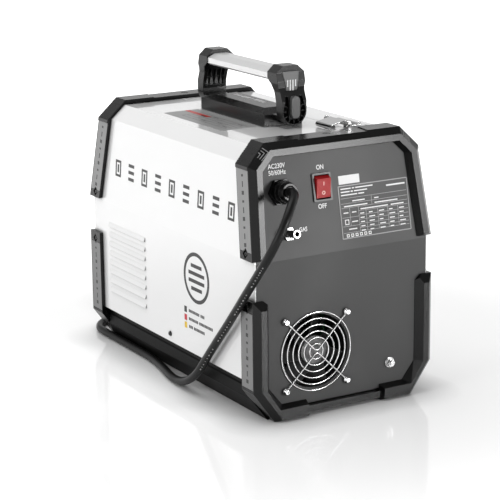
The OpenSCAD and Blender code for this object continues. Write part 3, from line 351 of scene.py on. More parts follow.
# Surface effect: the ribs of a woven strap, as a height and a tone
weave_group, given, put = group("webbing_weave", [("Pitch", 700.0)], ["Height", "Tone"])
where = add(weave_group, "TexCoord").outputs["Object"]
threads = {"Vector": where, "Scale": given.outputs["Pitch"]}
across = add(weave_group, "TexWave", threads, bands_direction="X")
ribs = add(weave_group, "TexWave", threads, bands_direction="Y")
woven = add(weave_group, "Math", {0: across.outputs["Fac"], 1: ribs.outputs["Fac"]},
            operation="MULTIPLY")
fibre = add(weave_group, "TexNoise", {"Vector": where, "Scale": 2600.0})
weave_group.links.new(woven.outputs[0], put.inputs["Height"])
weave_group.links.new(fibre.outputs["Fac"], put.inputs["Tone"])

paint(two_tone("tie_webbing", weave_group, srgb(30), srgb(62), 0.85, depth=0.6, rise=0.4),
      "cord_tie")
paint(finish("plug_rubber", srgb(28), 0.42, grain=1400.0, depth=0.14, mottle=0.12, edge=0.8),
      "cord_sleeve", "mains_plug")
gland_gloss = finish("gland_gloss", srgb(8), 0.26, depth=0.03, specular=0.2, edge=0.5)
paint(gland_gloss, "gland_body", "gland_nut")

# ---------- floor, backdrop and lamps ----------
# A white glossy table top that runs back without a horizon. The room is white at eye level and
# dims overhead. Soft boxes stand above, on the louvred side and low behind the far corner.

FLOOR_HALF = 9
CEILING = 0.25
ROOM_LIGHT = 0.55


def straight(tree):
    """1 for rays from the camera, from a mirror or through glass, 0 for scattered light."""
    ray = add(tree, "LightPath")
    either = add(tree, "Math", {0: ray.outputs["Is Camera Ray"], 1: ray.outputs["Is Glossy Ray"]},
                 operation="MAXIMUM")
    every = add(tree, "Math", {0: either.outputs[0], 1: ray.outputs["Is Transmission Ray"]},
                operation="MAXIMUM")
    return every.outputs[0]


floor = bpy.data.objects.new("floor", bpy.data.meshes.new("floor"))
floor.data.from_pydata([(x * FLOOR_HALF, y * FLOOR_HALF, 0)
                        for x, y in ((-1, -1), (1, -1), (1, 1), (-1, 1))], [], [(0, 1, 2, 3)])
bpy.context.scene.collection.objects.link(floor)

# The table shows its own shaded paint round the machine and turns to plain white further out. Its
# glow carries a painted contact shadow, darkest where the machine all but touches it.
NEAR = 0.35
FAR = 0.9
NEAR_GLOW = 0.36
CONTACT_SHADOW_REACH = 0.055
CONTACT_SHADOW_DEPTH = 2.6
table_white, tree, shader = node_tree("table_white")
shader.inputs["Base Color"].default_value = (0.8, 0.8, 0.8, 1)
shader.inputs["Roughness"].default_value = 0.07
shader.inputs["Emission Strength"].default_value = 1.0
where = add(tree, "TexCoord").outputs["Object"]
reach = add(tree, "VectorMath", {0: where}, operation="LENGTH")
white = add(tree, "MapRange", {"Value": reach.outputs["Value"], "From Min": NEAR, "From Max": FAR,
                               "To Min": NEAR_GLOW, "To Max": 1.0}, interpolation_type="SMOOTHSTEP")
# Painted contact shadow: the glow is cut where ambient occlusion finds the machine close by
under = add(tree, "AmbientOcclusion", {"Distance": CONTACT_SHADOW_REACH}, samples=12)
contact_shadow = add(tree, "Math", {0: under.outputs["AO"], 1: CONTACT_SHADOW_DEPTH}, operation="POWER")
shaded = add(tree, "Math", {0: contact_shadow.outputs[0], 1: white.outputs[0]}, operation="MULTIPLY")
glow = add(tree, "Math", {0: shaded.outputs[0], 1: straight(tree)}, operation="MULTIPLY")
tree.links.new(glow.outputs[0], shader.inputs["Emission Color"])
floor.data.materials.append(table_white)

world = bpy.data.worlds.new("studio")
bpy.context.scene.world = world
world.use_nodes = True
tree = world.node_tree
tree.nodes.clear()
where = add(tree, "TexCoord").outputs["Generated"]
height = add(tree, "SeparateXYZ", {0: where})
dim = add(tree, "MapRange", {"Value": height.outputs["Z"], "From Min": 0.1, "From Max": 0.7,
                             "To Min": 1.0, "To Max": CEILING}, interpolation_type="SMOOTHSTEP")
lit = add(tree, "Background", {"Color": dim.outputs[0], "Strength": ROOM_LIGHT})
shown = add(tree, "Background", {"Color": dim.outputs[0], "Strength": 1.0})
mix = add(tree, "MixShader", {0: straight(tree), 1: lit.outputs[0], 2: shown.outputs[0]})
out = tree.nodes.new("ShaderNodeOutputWorld")
tree.links.new(mix.outputs[0], out.inputs[0])


def soft_box(name, place, aim, width, height, watts):
    """A lamp with a wide soft front, at a place and turned to an aim, in metres and watts."""
    light = bpy.data.lights.new(name, "AREA")
    light.shape = "RECTANGLE"
    light.size = width
    light.size_y = height
    light.energy = watts
    lamp = bpy.data.objects.new(name, light)
    lamp.location = place
    lamp.rotation_mode = "QUATERNION"
    lamp.rotation_quaternion = (Vector(place) - Vector(aim)).to_track_quat("Z", "Y")
    bpy.context.scene.collection.objects.link(lamp)


soft_box("top_box", (0.45, -0.4, 1.9), (0, 0, 0.2), 1.8, 1.8, 20)
soft_box("side_box", (2.3, 0.2, 1.15), (0, 0, 0.2), 1.5, 1.2, 20)
soft_box("rim_box", (-1.07, 2.23, 0.52), (0, 0.2, 0.28), 0.58, 0.44, 25)

# ---------- cover and side door ----------
# Two bent sheets of 1.2 mm steel, powder-coated glossy white. The cover carries eight pressed
# louvres and printed markings, and the door is held by a hinge along its lower edge.

LEAN = 0.186
SIDE_LEAN = 0.068
BEND_Z = 188
COVER_HW = 117
COVER_TOP_Z = 313
# Its creases, round the louvres and along the seams, are darkened towards mid grey as painted shade
white_coat = finish("white_coat", srgb(246), 0.25, grain=500.0, depth=0.04, mottle=0.012,
                    rough_spread=0.05, coat=1.0, coat_roughness=0.04, edge=0.8, crease_shade=srgb(150))
paint(white_coat, "cover", "side_door")


def ring(bm, place, r_out, r_in=0.0, thick=INK, sides=48):
    """A flat printed ring, or a disc where r_in is nought."""
    loops = []
    for r, z in ((r_out, 0), (r_out, thick), (r_in, thick), (r_in, 0))[:4 if r_in else 2]:
        loops.append([bm.verts.new(place @ (Vector((r * cos(k * 2 * pi / sides),
                                                    r * sin(k * 2 * pi / sides), z)) * MM))
                      for k in range(sides)])
    for a in range(len(loops) if r_in else 1):
        one, two = loops[a], loops[(a + 1) % len(loops)]
        for k in range(sides):
            bm.faces.new((one[k], one[(k + 1) % sides], two[(k + 1) % sides], two[k]))
    if not r_in:
        bm.faces.new(loops[1])


def box_lines(bm, place, x0, x1, y0, y1, stroke):
    """The outline of a rectangle in strokes of one width."""
    slab(bm, place, x0, x1, y0, y0 + stroke)
    slab(bm, place, x0, x1, y1 - stroke, y1)
    slab(bm, place, x0, x0 + stroke, y0 + stroke, y1 - stroke)
    slab(bm, place, x1 - stroke, x1, y0 + stroke, y1 - stroke)


def side_place(y, z, lift=0.02):
    """On the +X side of the cover, reading from the front end to the rear."""
    a = atan(SIDE_LEAN) if z > BEND_Z else 0
    x = COVER_HW - SIDE_LEAN * max(0, z - BEND_Z)
    out = Vector((cos(a), 0, sin(a)))
    up = Vector((-sin(a), 0, cos(a)))
    return axes(Vector((x, y, z)) * MM + out * lift * MM, Vector((0, 1, 0)), up)


ink_black = ink("ink_black", srgb(24))
ink_grey = ink("ink_grey", srgb(84))

# A row of marks along the side, by turns a box with a bar in it and three bars
MARK_COUNT = 9
MARK_PITCH = 35.5
MARK_Y = -137
MARK_Z = 237
MARK_HALF = (7.5, 10.5)
wide, tall = MARK_HALF
bm = bmesh.new()
for i in range(MARK_COUNT):
    place = side_place(MARK_Y + i * MARK_PITCH, MARK_Z)
    if i % 2:
        for low, high in ((6.5, tall), (-2, 2), (-tall, -6.5)):
            slab(bm, place, -wide, wide, low, high)
    else:
        box_lines(bm, place, -wide, wide, -tall, tall, 3)
        slab(bm, place, -2, 2, -5, 5)
piece("side_marks", bm, ink_black)

# A plain emblem: a ring round four bars, each given by its height and half its length
EMBLEM = (68, 141)
EMBLEM_RING = (31, 26.5)
EMBLEM_BARS = ((14, 13), (4.7, 19), (-4.7, 19), (-14, 13))
bm = bmesh.new()
ring(bm, side_place(*EMBLEM), *EMBLEM_RING)
for z, half in EMBLEM_BARS:
    slab(bm, side_place(*EMBLEM), -half, half, z - 2.2, z + 2.2)
piece("side_emblem", bm, ink_black)

# Three coloured tiles one above the other, each with two groups of dashes beside it
TILE_Y = 40
DASHES_Y = 48
DASH_PITCH = 3.3
DASH_GAP = 2.2
SIDE_TILES = [("tile_black", 97, srgb(30, 34, 30), (8, 3)),
              ("tile_red", 87, srgb(200, 20, 45), (7, 10)),
              ("tile_yellow", 77.4, srgb(240, 200, 50), (3, 8))]
dashes = bmesh.new()
for name, z, colour, counts in SIDE_TILES:
    bm = bmesh.new()
    slab(bm, side_place(TILE_Y, z), -3.1, 3.1, -3.7, 3.7)
    piece(name, bm, ink(name, colour))
    start = 0
    for count in counts:
        for k in range(count):
            x = start + k * DASH_PITCH
            slab(dashes, side_place(DASHES_Y, z), x, x + 2.5, -1.8, 1.8)
        start += count * DASH_PITCH + DASH_GAP
piece("side_dashes", dashes, ink_black)

# ---------- end panels ----------
# Two folded steel panels in grey satin paint, held between the guards and screen-printed in
# white. The upper half of each leans in.

PANEL_Y = 203.5
panel_paint = finish("panel_paint", srgb(69), 0.46, grain=1500.0, depth=0.12, mottle=0.03,
                     specular=0.32, edge=0.6)
paint(panel_paint, "rear_panel", "front_panel")
ink_white = ink("ink_white", srgb(244), 0.45)


def end_place(x, z, end=1, lift=0.02):
    """On the rear panel (end 1) or the front panel (end -1), as seen by someone facing it."""
    a = atan(LEAN) if z > BEND_Z else 0
    y = PANEL_Y - LEAN * max(0, z - BEND_Z)
    out = Vector((0, end * cos(a), sin(a)))
    return axes(Vector((x, end * y, z)) * MM + out * lift * MM, Vector((-end, 0, 0)),
                Vector((0, -end * sin(a), cos(a))))


# How high the capitals stand in a font of size 1
CAPITAL = 0.7


def words(name, text, place, height, material, width=None, bold=0.035):
    """Plain lettering of a given capital height in millimetres, centred on its place."""
    font = bpy.data.curves.new(name, "FONT")
    font.body = text
    font.align_x = "CENTER"
    font.align_y = "CENTER"
    font.extrude = 0.05
    font.size = height / CAPITAL
    font.offset = height * bold
    maker = bpy.data.objects.new(name + "_maker", font)
    bpy.context.scene.collection.objects.link(maker)
    bpy.context.view_layer.update()
    drawn = maker.evaluated_get(bpy.context.evaluated_depsgraph_get())
    mesh = bpy.data.meshes.new_from_object(drawn)
    bpy.data.objects.remove(maker)
    span = max(v.co.x for v in mesh.vertices) - min(v.co.x for v in mesh.vertices)
    squeeze = width / span if width else 1
    mesh.transform(place @ Matrix.Diagonal((squeeze * MM, MM, MM, 1)))
    piece(name, mesh, material)


words("print_supply_volts", "AC230V", end_place(76.5, 291.5), 5.2, ink_white, 22.5, bold=0.024)
words("print_supply_hertz", "50/60Hz", end_place(76.5, 284.3), 5.2, ink_white, 22.5, bold=0.024)
words("print_on", "ON", end_place(20, 284), 5.2, ink_white, 9.6, bold=0.03)
words("print_off", "OFF", end_place(21.5, 240.5), 5.2, ink_white, 11.4, bold=0.03)
words("print_gas", "GAS", end_place(50, 218), 5.0, ink_white, 10.5, bold=0.03)

# ---------- data plate, sticker and top label ----------
# Printed foils: a table of ratings in plain strokes, a blank white sticker, and a grey label on
# the cover beside the handle.

PLATE_X = -48.7
PLATE_Z = 230
PLATE_HALF = (47.75, 30.5)
PLATE_RIM = 1.1
foil_grey = finish("foil_grey", srgb(71), 0.46, grain=1500.0, depth=0.05, mottle=0.03,
                   specular=0.32, edge=0)
label_foil = finish("label_foil", srgb(150), 0.4, grain=1500.0, depth=0.05, mottle=0.03, edge=0)
paint(label_foil, "labels")
foil_ink = ink("foil_ink", srgb(170), 0.45)

plate = end_place(PLATE_X, PLATE_Z, lift=0.47)
wide, tall = (half - PLATE_RIM for half in PLATE_HALF)
bm = bmesh.new()
slab(bm, plate, -wide, wide, -tall, tall, FILM)
piece("plate_face", bm, foil_grey)

# The table's rules: those across run between two places at some heights, and those down stand at
# a place between two heights
on_plate = end_place(PLATE_X, PLATE_Z, lift=0.53)
LINE = 0.45
RULES_ACROSS = ((-45.5, 45.5, (15.5, 9.5, 4.5)), (-45.5, -23, (-6.5, -16.5, -24)),
                (-23, 45.5, (-0.5, -5.5, -10.5, -15.5, -20, -24)))
RULES_DOWN = ((-4, 4.5, 15.5), (-35, -16.5, 4.5), (-23, -24, 4.5), (-13, -24, -0.5),
              (3, -24, -0.5), (17, -24, -0.5), (31, -24, -0.5))
bm = bmesh.new()
for x0, x1, heights in RULES_ACROSS:
    for z in heights:
        slab(bm, on_plate, x0, x1, z, z + LINE)
for x, z0, z1 in RULES_DOWN:
    slab(bm, on_plate, x, x + LINE, z0, z1)
piece("plate_lines", bm, foil_ink)

# What the table holds, as plain strokes: a heading of three rows, single entries, five rows of
# figures and six small boxes along the foot
HEADING = ((14, 3, 24), (12, 3, 18), (22, 8))
ENTRIES = ((-30, -13, 11.8), (-42, -10, 6.4), (0, 6, 11.8), (0, 32, 6.4), (-20, 18, 1.4),
           (22, 40, 1.4), (-43.5, -37, -1), (-32, -26, -1), (-33, -25, -11.8), (-38, -27, -20))
bm = bmesh.new()
for row, widths in enumerate(HEADING):
    start = -44.5
    for width in widths:
        slab(bm, on_plate, start, start + width, 26 - row * 3.6, 27.3 - row * 3.6)
        start += width + 1.5
slab(bm, on_plate, 18, 44, 23.2, 25.0)
for x0, x1, z in ENTRIES:
    slab(bm, on_plate, x0, x1, z - 0.55, z + 0.75)
box_lines(bm, on_plate, -42.5, -37, -14.5, -8.5, 0.9)
for row in range(5):
    z = -3.5 - row * 4.9
    slab(bm, on_plate, -21, -15.5, z - 0.6, z + 0.6)
    for column in range(4):
        x = -9 + column * 14
        width = 5 + (row * 3 + column * 2) % 4
        slab(bm, on_plate, x, x + width, z - 0.6, z + 0.6)
for i in range(6):
    x = -42 + i * 6
    box_lines(bm, on_plate, x, x + 3.8, -28.8, -25.2, 0.9)
piece("plate_print", bm, ink_white)
sticker = end_place(-17, 266.4, lift=0.37)
bm = bmesh.new()
slab(bm, sticker, -14.1, 14.1, -4.9, 4.9, FILM)
piece("blank_sticker", bm, ink_white)

top_label = axes(Vector((55, -5, COVER_TOP_Z + 0.27)) * MM, Vector((0, -1, 0)), Vector((1, 0, 0)))
LABEL_BARS = ((-52, 8), (-28, 1), (0, 8), (24, -6), (-52, -13), (6, -13))
bm = bmesh.new()
for k in range(5):
    slab(bm, top_label, -64, 44, 13 - k * 7, 13.7 - k * 7, FILM)
for x in (-40, -12, 18, 44):
    slab(bm, top_label, x, x + 0.7, -15, 13, FILM)
for k, (x, y) in enumerate(LABEL_BARS):
    slab(bm, top_label, x - 5 - k % 3, x + 5, y, y + 2, FILM)
piece("top_label_print", bm, ink_grey)
bm = bmesh.new()
slab(bm, top_label, 15, 70.5, -11, -4, FILM)
piece("top_label_red", bm, ink("ink_red", srgb(190, 40, 30)))

# ---------- corner guards ----------
# Injection-moulded frames in black plastic that wrap both ends, with grey inlay strips. Each
# strip is stamped with a column of small ticks, and each upper corner has three chevron ribs, drawn
# as flat pale strips in a painted highlight.

HALF_W = 122
STRIP_SUNK = 0.08
guard_black = finish("guard_black", srgb(8), 0.26, grain=1900.0, depth=0.05, wear=0.06,
                     worn=srgb(70), mottle=0.10, rough_spread=0.03, specular=0.28, edge=0.4)
paint(guard_black, "upper_guard_rear", "upper_guard_front", "lower_guard_rear", "lower_guard_front")
paint(finish("skid_black", srgb(10), 0.5, grain=1900.0, depth=0.16, mottle=0.1, specular=0.12,
             edge=0.4), "side_rails")
inlay_grey = finish("inlay_grey", srgb(150), 0.5, grain=1500.0, depth=0.12, edge=0.3)
# The lower strips take a darker copy of the same grey, as painted shade
inlay_painted_shade = finish("inlay_painted_shade", srgb(132), 0.5, grain=1500.0, depth=0.12, edge=0.3)
paint(inlay_grey, "upper_inlays")
paint(inlay_painted_shade, "lower_inlays")
paint(finish("screw_black", srgb(16), 0.25, depth=0.03, edge=0.3), "casing_screws")
paint(finish("tray_paint", srgb(34), 0.45, edge=0.4), "base_tray")


def strip_place(y, z, side, end):
    """On an inlay strip, on the side (1 or -1) and end (1 or -1) of the machine."""
    above = max(0, z - BEND_Z)
    side_tilt = atan(SIDE_LEAN) if above else 0
    end_tilt = atan(LEAN) if above else 0
    x = HALF_W - SIDE_LEAN * above - STRIP_SUNK
    up = Vector((-side * sin(side_tilt), -end * sin(end_tilt), cos(side_tilt))).normalized()
    out = Vector((side * cos(side_tilt), 0, sin(side_tilt)))
    return axes(Vector((side * x, end * (y - LEAN * above), z)) * MM,
                up.cross(out).normalized(), up)


TICKS = 9
TICK_Y = 192.8
TICK_COLUMNS = ((208, 284), (50, 123))
TICK_HALVES = ((2.4, 2.2), (1.0, 3.2), (2.0, 1.3))
bm = bmesh.new()
for side in (-1, 1):
    for end in (-1, 1):
        for low, high in TICK_COLUMNS:
            for i in range(TICKS):
                place = strip_place(TICK_Y, low + (high - low) * i / (TICKS - 1), side, end)
                wide, tall = TICK_HALVES[i % 3]
                slab(bm, place, -wide, wide, -tall, tall, THIN_INK)
piece("strip_ticks", bm, ink("tick_black", srgb(50), 0.5))

# A chevron is an arm along its top and a leg down from the arm's outer end. Its values are how far
# across and up that end lies, and the lengths of the arm and the leg.
CORNER_OUT = Vector((103.7, 184.15, 307.1))
CORNER_IN = Vector((98.45, 192.38, 301.55))
CHEVRON_STROKE = 0.7
CHEVRONS = [(10.4, 11.4, 9.2, 16.5), (7.4, 8.0, 5.6, 12.0), (4.4, 4.6, 3.4, 7.6)]
bm = bmesh.new()
for side in (-1, 1):
    for end in (-1, 1):
        flip = Vector((side, end, 1))
        up = Vector((-0.7071, 0, 0.7071)) * flip
        across = ((CORNER_IN - CORNER_OUT) * flip).normalized()
        out = across.cross(up)
        out = out if out.z > 0 else -out
        place = axes(CORNER_OUT * flip * MM + out * 0.02 * MM, across, up)
        if place.to_3x3().col[2].z < 0:
            place = place @ Matrix.Diagonal((1, 1, -1, 1))
        for corner, top, arm, leg in CHEVRONS:
            slab(bm, place, corner - arm, corner, top - CHEVRON_STROKE, top)
            slab(bm, place, corner - CHEVRON_STROKE, corner, top - leg, top - CHEVRON_STROKE)
# The chevrons' pale grey is a painted highlight, standing in for the light that raised ribs catch
piece("corner_chevron_highlights", bm, ink("chevron_highlight", srgb(150)))

# ---------- handle ----------
# An extruded aluminium bar between two moulded brackets, on a long moulded base. Grey inserts
# close the brackets' outer faces.

HANDLE_Y = -1.3
INSERT_OUT = 95.32
INSERT_Z = 362.5
BASE_TOP_Z = 332.62
handle_black = finish("handle_black", srgb(10), 0.27, grain=1900.0, depth=0.05, wear=0.08,
                      worn=srgb(90), mottle=0.1, rough_spread=0.03, specular=0.28, edge=0.7)
paint(handle_black, "handle_base", "handle_bracket_rear", "handle_bracket_front")

# Surface effect: long fine lines along a drawn or brushed bar, as a height and a tone
brushed_group, given, put = group("brushed_lines", [("Scale", 1.0)], ["Height", "Tone"])
where = add(brushed_group, "TexCoord").outputs["Object"]
stretched = add(brushed_group, "Mapping", {0: where, "Scale": (1800.0, 14.0, 1800.0)})
streaks = add(brushed_group, "TexNoise", {"Vector": stretched.outputs[0],
                                          "Scale": given.outputs["Scale"], "Detail": 3.0})
soft = add(brushed_group, "TexNoise", {"Vector": where, "Scale": 30.0, "Detail": 4.0})
brushed_group.links.new(streaks.outputs["Fac"], put.inputs["Height"])
brushed_group.links.new(soft.outputs["Fac"], put.inputs["Tone"])


def brushed(name, dark, light, roughness, metallic=1.0, edge=0.5):
    """Bare or plated metal with its drawing lines."""
    return two_tone(name, brushed_group, dark, light, roughness, metallic, edge=edge)


paint(brushed("grip_silver", srgb(222), srgb(232), 0.34, metallic=0.4), "handle_grip")
paint(finish("insert_grey", srgb(84), 0.30, depth=0.08, specular=0.35, edge=0.5), "handle_inserts")

# Four upright bars on each insert: their places across, and their lower and upper ends
BADGE_BARS = ((-5.4, -1.0, 7.0), (-1.8, -5.4, 7.0), (1.8, -5.4, 7.0), (5.4, -1.0, 7.0))
bm = bmesh.new()
for end in (-1, 1):
    badge = axes(Vector((0, HANDLE_Y + end * INSERT_OUT, INSERT_Z)) * MM, Vector((-end, 0, 0)),
                 Vector((0, 0, 1)))
    for x, low, high in BADGE_BARS:
        slab(bm, badge, x - 0.85, x + 0.85, low, high, THIN_INK)
piece("badge_bars", bm, ink("badge_pale", srgb(226)))

BASE_MARKS = 8
BASE_MARK_PITCH = 9.5
bm = bmesh.new()
base_top = axes(Vector((0, HANDLE_Y, BASE_TOP_Z)) * MM, Vector((0, 1, 0)), Vector((-1, 0, 0)))
for i in range(BASE_MARKS):
    start = -46 + i * BASE_MARK_PITCH
    slab(bm, base_top, start, start + (6.5, 4.5, 7.5)[i % 3], 2.2, 8.4, THIN_INK)
piece("base_marks", bm, ink_white)

# ---------- draw latch ----------
# Nickel-plated spring steel: a base with its pin, a sheet lever, a wire bail, and a hook on the
# door. The door's hinge and the divider behind it are zinc-plated.

latch_nickel = finish("latch_nickel", srgb(214), 0.16, depth=0.03, metallic=1.0, edge=0.3)
paint(latch_nickel, "latch_base", "latch_bail", "latch_keeper", "latch_lever")
zinc = finish("zinc", srgb(178), 0.3, grain=600.0, depth=0.08, metallic=1.0, mottle=0.12, edge=0.4)
paint(zinc, "hinge_leaf_frame", "hinge_leaf_door", "hinge_pin", "divider_plate")

# ---------- switch ----------
# A rocker of clear red plastic in a grey bezel, snapped into the rear panel. It turns on its pins,
# 2 mm inside the panel's face, and its own face is 6.6 mm out from them.

SWITCH = (20.2, 262)
PINS_LIFT = -2
ROCKER_TILT = radians(12)
ROCKER_FACE = 6.62 * MM
paint(finish("bezel_grey", srgb(84), 0.4, depth=0.08, edge=0.5), "switch_housing")
rocker_red = finish("rocker_red", srgb(168, 20, 24), 0.34, depth=0.02, mottle=0.1, specular=0.35,
                    edge=0.9)
paint(rocker_red, "switch_rocker")

rocker_face = (end_place(*SWITCH, lift=PINS_LIFT) @ Matrix.Rotation(ROCKER_TILT, 4, "X")
               @ Matrix.Translation((0, 0, ROCKER_FACE)))
bm = bmesh.new()
slab(bm, rocker_face, -0.55, 0.55, 3.2, 7.4, THIN_INK)
ring(bm, rocker_face @ Matrix.Translation((0, -5.3 * MM, 0)), 2.3, 1.2, THIN_INK, 24)
piece("rocker_marks", bm, ink("rocker_mark", srgb(250, 214, 205)), "rocker")

# ---------- gas inlet, fan, earth stud ----------
# Nickel-plated and chromed fittings on the rear panel, and a black axial fan screwed on behind
# its wire guard, with a grey disc stuck on its hub.

FAN = Vector((37.2, 0, 74.5))
HUB_Y = 199.52
HUB_R = 15.5
chrome = finish("chrome", srgb(196), 0.13, depth=0.02, metallic=1.0, mottle=0.03, rough_spread=0.04,
                edge=0.4)
paint(chrome, "fan_guard", "fan_screws", "earth_stud")
paint(finish("gas_nickel", srgb(118), 0.2, depth=0.04, metallic=1.0, mottle=0.06, rough_spread=0.05,
             edge=0.3), "gas_inlet")
fan_black = finish("fan_black", srgb(32), 0.34, depth=0.1, edge=0.4)
paint(fan_black, "fan_frame", "fan_rotor")

# Each pair of spokes is one wire, bent round in an arc short of the middle
SPOKE_START = 5.0
SPOKE_Y = 205.9
SPOKE_R = 0.9 * MM
for name, turn in (("guard_bend_upper", 1), ("guard_bend_lower", -1)):
    centre = FAN + Vector((0, SPOKE_Y, turn * SPOKE_START * sqrt(2)))
    bend = [centre + Vector((cos(radians(a)), 0, -turn * sin(radians(a)))) * SPOKE_START
            for a in range(45, 136, 9)]
    tube(name, [p * MM for p in bend], SPOKE_R, chrome)
bm = bmesh.new()
hub = axes((FAN + Vector((0, HUB_Y, 0))) * MM, Vector((-1, 0, 0)), Vector((0, 0, 1)))
ring(bm, hub, HUB_R, thick=THICK_INK)
piece("fan_hub_disc", bm, finish("hub_grey", srgb(108), 0.4, depth=0.05, edge=0), "fan")

# ---------- front controls ----------
# A raised black fascia with a red display, the current knob, two buttons and three lamps. Below
# it are the torch socket, the earth clamp socket and the trigger socket.

FASCIA_Z = 250
KNOB = (40, -12)
DISPLAY = (-8, 18)


def fascia_place(x, z, lift=3.07):
    """On the fascia, from its middle, as seen by someone facing it."""
    return end_place(0, FASCIA_Z, -1, lift) @ Matrix.Translation((x * MM, z * MM, 0))


def low_front_place(x, z, lift=0.02):
    """On the upright lower half of the front panel."""
    return axes(Vector((x, -PANEL_Y - lift, z)) * MM, Vector((1, 0, 0)), Vector((0, 0, 1)))


def glowing(name, dark, light, strength, roughness=0.5):
    """Clear plastic with a light behind it."""
    material, tree, shader = node_tree(name)
    surface = add(tree, "Group", node_tree=grain_group)
    glow = add(tree, "Mix", {0: surface.outputs["Mottle"], 6: dark, 7: light}, data_type="RGBA")
    tree.links.new(glow.outputs[2], shader.inputs["Base Color"])
    tree.links.new(glow.outputs[2], shader.inputs["Emission Color"])
    shader.inputs["Roughness"].default_value = roughness
    shader.inputs["Emission Strength"].default_value = strength
    return material


paint(finish("fascia_black", srgb(26), 0.3, grain=1900.0, depth=0.08, edge=0.6), "control_fascia")
paint(finish("display_red", srgb(60, 8, 8), 0.1, depth=0.02, coat=0.6, coat_roughness=0.03,
             edge=0.4), "display_window")
paint(finish("knob_black", srgb(40), 0.42, grain=1900.0, depth=0.12, wear=0.2, worn=srgb(110),
             edge=0.5), "current_knob")
paint(finish("button_grey", srgb(176), 0.35, depth=0.05, edge=0.4), "mode_button", "test_button")
paint(glowing("lamp_green", srgb(40, 170, 70), srgb(90, 230, 120), 0.25, 0.15), "status_lamps")

# Seven-segment figures, lit: a, b, c, d, e, f, g from the top round to the middle
SEGMENTS = {"a": (0, 8, "flat"), "b": (4, 4, "up"), "c": (4, -4, "up"), "d": (0, -8, "flat"),
            "e": (-4, -4, "up"), "f": (-4, 4, "up"), "g": (0, 0, "flat")}
FIGURES = {"4": "bcfg", "0": "abcdef"}
bm = bmesh.new()
for figure, x in (("4", -9), ("0", 7)):
    place = fascia_place(DISPLAY[0] + x, DISPLAY[1], 3.3)
    for name in FIGURES[figure]:
        sx, sy, way = SEGMENTS[name]
        wide, tall = (3.2, 0.9) if way == "flat" else (0.9, 3.2)
        slab(bm, place, sx - wide, sx + wide, sy - tall, sy + tall, THIN_INK)
piece("display_figures", bm, glowing("lit_red", srgb(235, 40, 25), srgb(255, 70, 45), 0.9))

DIAL_START = -135
DIAL_STEP = 15
DIAL_MARKS = 19
bm = bmesh.new()
for i in range(DIAL_MARKS):
    a = radians(DIAL_START + i * DIAL_STEP)
    place = fascia_place(*KNOB) @ Matrix.Rotation(-a, 4, "Z")
    slab(bm, place, -0.25, 0.25, 18.6, 21.8 if i % 3 == 0 else 20.4, THIN_INK)
for x in (-40, -16):
    box_lines(bm, fascia_place(x, -18), -8.5, 8.5, -8.5, 8.5, 0.4)
box_lines(bm, fascia_place(0, 0), -73, 73, -36, 36, 0.5)
piece("fascia_print", bm, ink_white)
for name, text, x, z in (("dial_low", "10", 22, -28.5), ("dial_high", "40", 58, -28.5),
                         ("dial_middle", "25", 40, 13.5), ("display_unit", "A", 29, 27),
                         ("button_one", "1", -40, -31), ("button_two", "2", -16, -31)):
    words(name, text, fascia_place(x, z), 3.6, ink_white)
pointer = fascia_place(*KNOB, 19.5)
bm = bmesh.new()
slab(bm, pointer, -0.45, 0.45, 4.4, 12, THIN_INK)
piece("knob_pointer", bm, ink_white, "knob")

paint(finish("socket_black", srgb(30), 0.38, grain=1900.0, depth=0.12, edge=0.6), "torch_socket")
paint(brushed("socket_brass", srgb(176, 132, 66), srgb(204, 160, 88), 0.26, edge=0.4),
      "earth_socket")
paint(latch_nickel, "control_socket")

# A minus, a plus, and a ring with a bar in it, each beside the socket that it stands for
minus = low_front_place(-50, 138)
plus = low_front_place(54, 94)
trigger = low_front_place(50, 150)
bm = bmesh.new()
slab(bm, minus, -4, 4, -0.6, 0.6)
slab(bm, plus, -4, 4, -0.6, 0.6)
slab(bm, plus, -0.6, 0.6, -4, -0.6)
slab(bm, plus, -0.6, 0.6, 0.6, 4)
ring(bm, trigger, 4.2, 3.5, sides=32)
slab(bm, trigger, -0.5, 0.5, -2.4, 2.4)
piece("socket_signs", bm, ink_white)

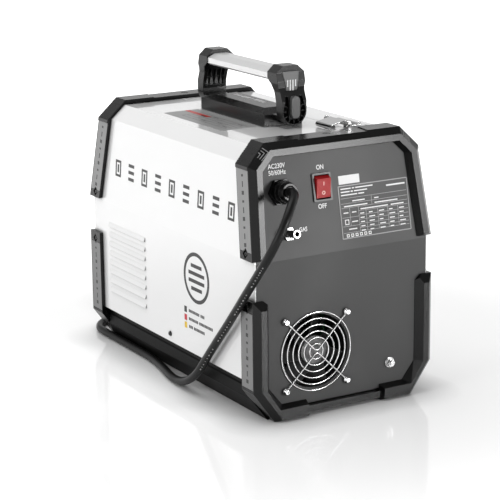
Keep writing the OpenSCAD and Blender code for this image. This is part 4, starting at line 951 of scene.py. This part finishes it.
# ---------- inside ----------
# Boards, heat sinks and wound parts on the tray, and the gas line with its valve in the door's
# compartment. They show through the louvres and when the door is open.

# Surface effect: a board's copper tracks, as a mask
tracks_group, given, put = group("board_tracks", [("Scale", 90.0)], ["Mask"])
where = add(tracks_group, "TexCoord").outputs["Object"]
runs = add(tracks_group, "TexBrick", {"Vector": where, "Scale": given.outputs["Scale"],
                                      "Mortar Size": 0.03, "Brick Width": 0.9, "Row Height": 0.22})
tracks_group.links.new(runs.outputs["Fac"], put.inputs["Mask"])

paint(two_tone("board_green", tracks_group, srgb(16, 82, 44), srgb(52, 124, 76), 0.32,
               tone="Mask", height="Mask", depth=0.3), "power_board", "control_board")
paint(brushed("sink_bare", srgb(184), srgb(202), 0.36, edge=0.3), "heat_sinks")
paint(finish("module_black", srgb(36), 0.5, grain=1400.0, depth=0.12, edge=0.3), "power_modules")
paint(finish("capacitor_blue", srgb(38, 48, 112), 0.24, depth=0.04, coat=0.3, edge=0.6),
      "capacitors")
paint(finish("core_ferrite", srgb(66), 0.6, grain=700.0, depth=0.3, mottle=0.12, edge=0.4),
      "transformer")

# Surface effect: enamelled wire wound side by side, as a height and a tone
winding_group, given, put = group("wound_wire", [("Pitch", 300.0)], ["Height", "Tone"])
where = add(winding_group, "TexCoord").outputs["Object"]
turns = add(winding_group, "TexWave", {"Vector": where, "Scale": given.outputs["Pitch"],
                                       "Distortion": 1.5}, bands_direction="DIAGONAL")
stain = add(winding_group, "TexNoise", {"Vector": where, "Scale": 60.0})
winding_group.links.new(turns.outputs["Fac"], put.inputs["Height"])
winding_group.links.new(stain.outputs["Fac"], put.inputs["Tone"])

paint(two_tone("choke_copper", winding_group, srgb(132, 62, 28), srgb(196, 104, 54), 0.3,
               metallic=0.7, depth=0.9, rise=0.8), "output_choke")
paint(finish("hose_blue", srgb(46, 74, 140), 0.4, depth=0.06, edge=0.4), "gas_hose")
paint(finish("valve_black", srgb(50), 0.42, depth=0.12, edge=0.5), "solenoid_valve")
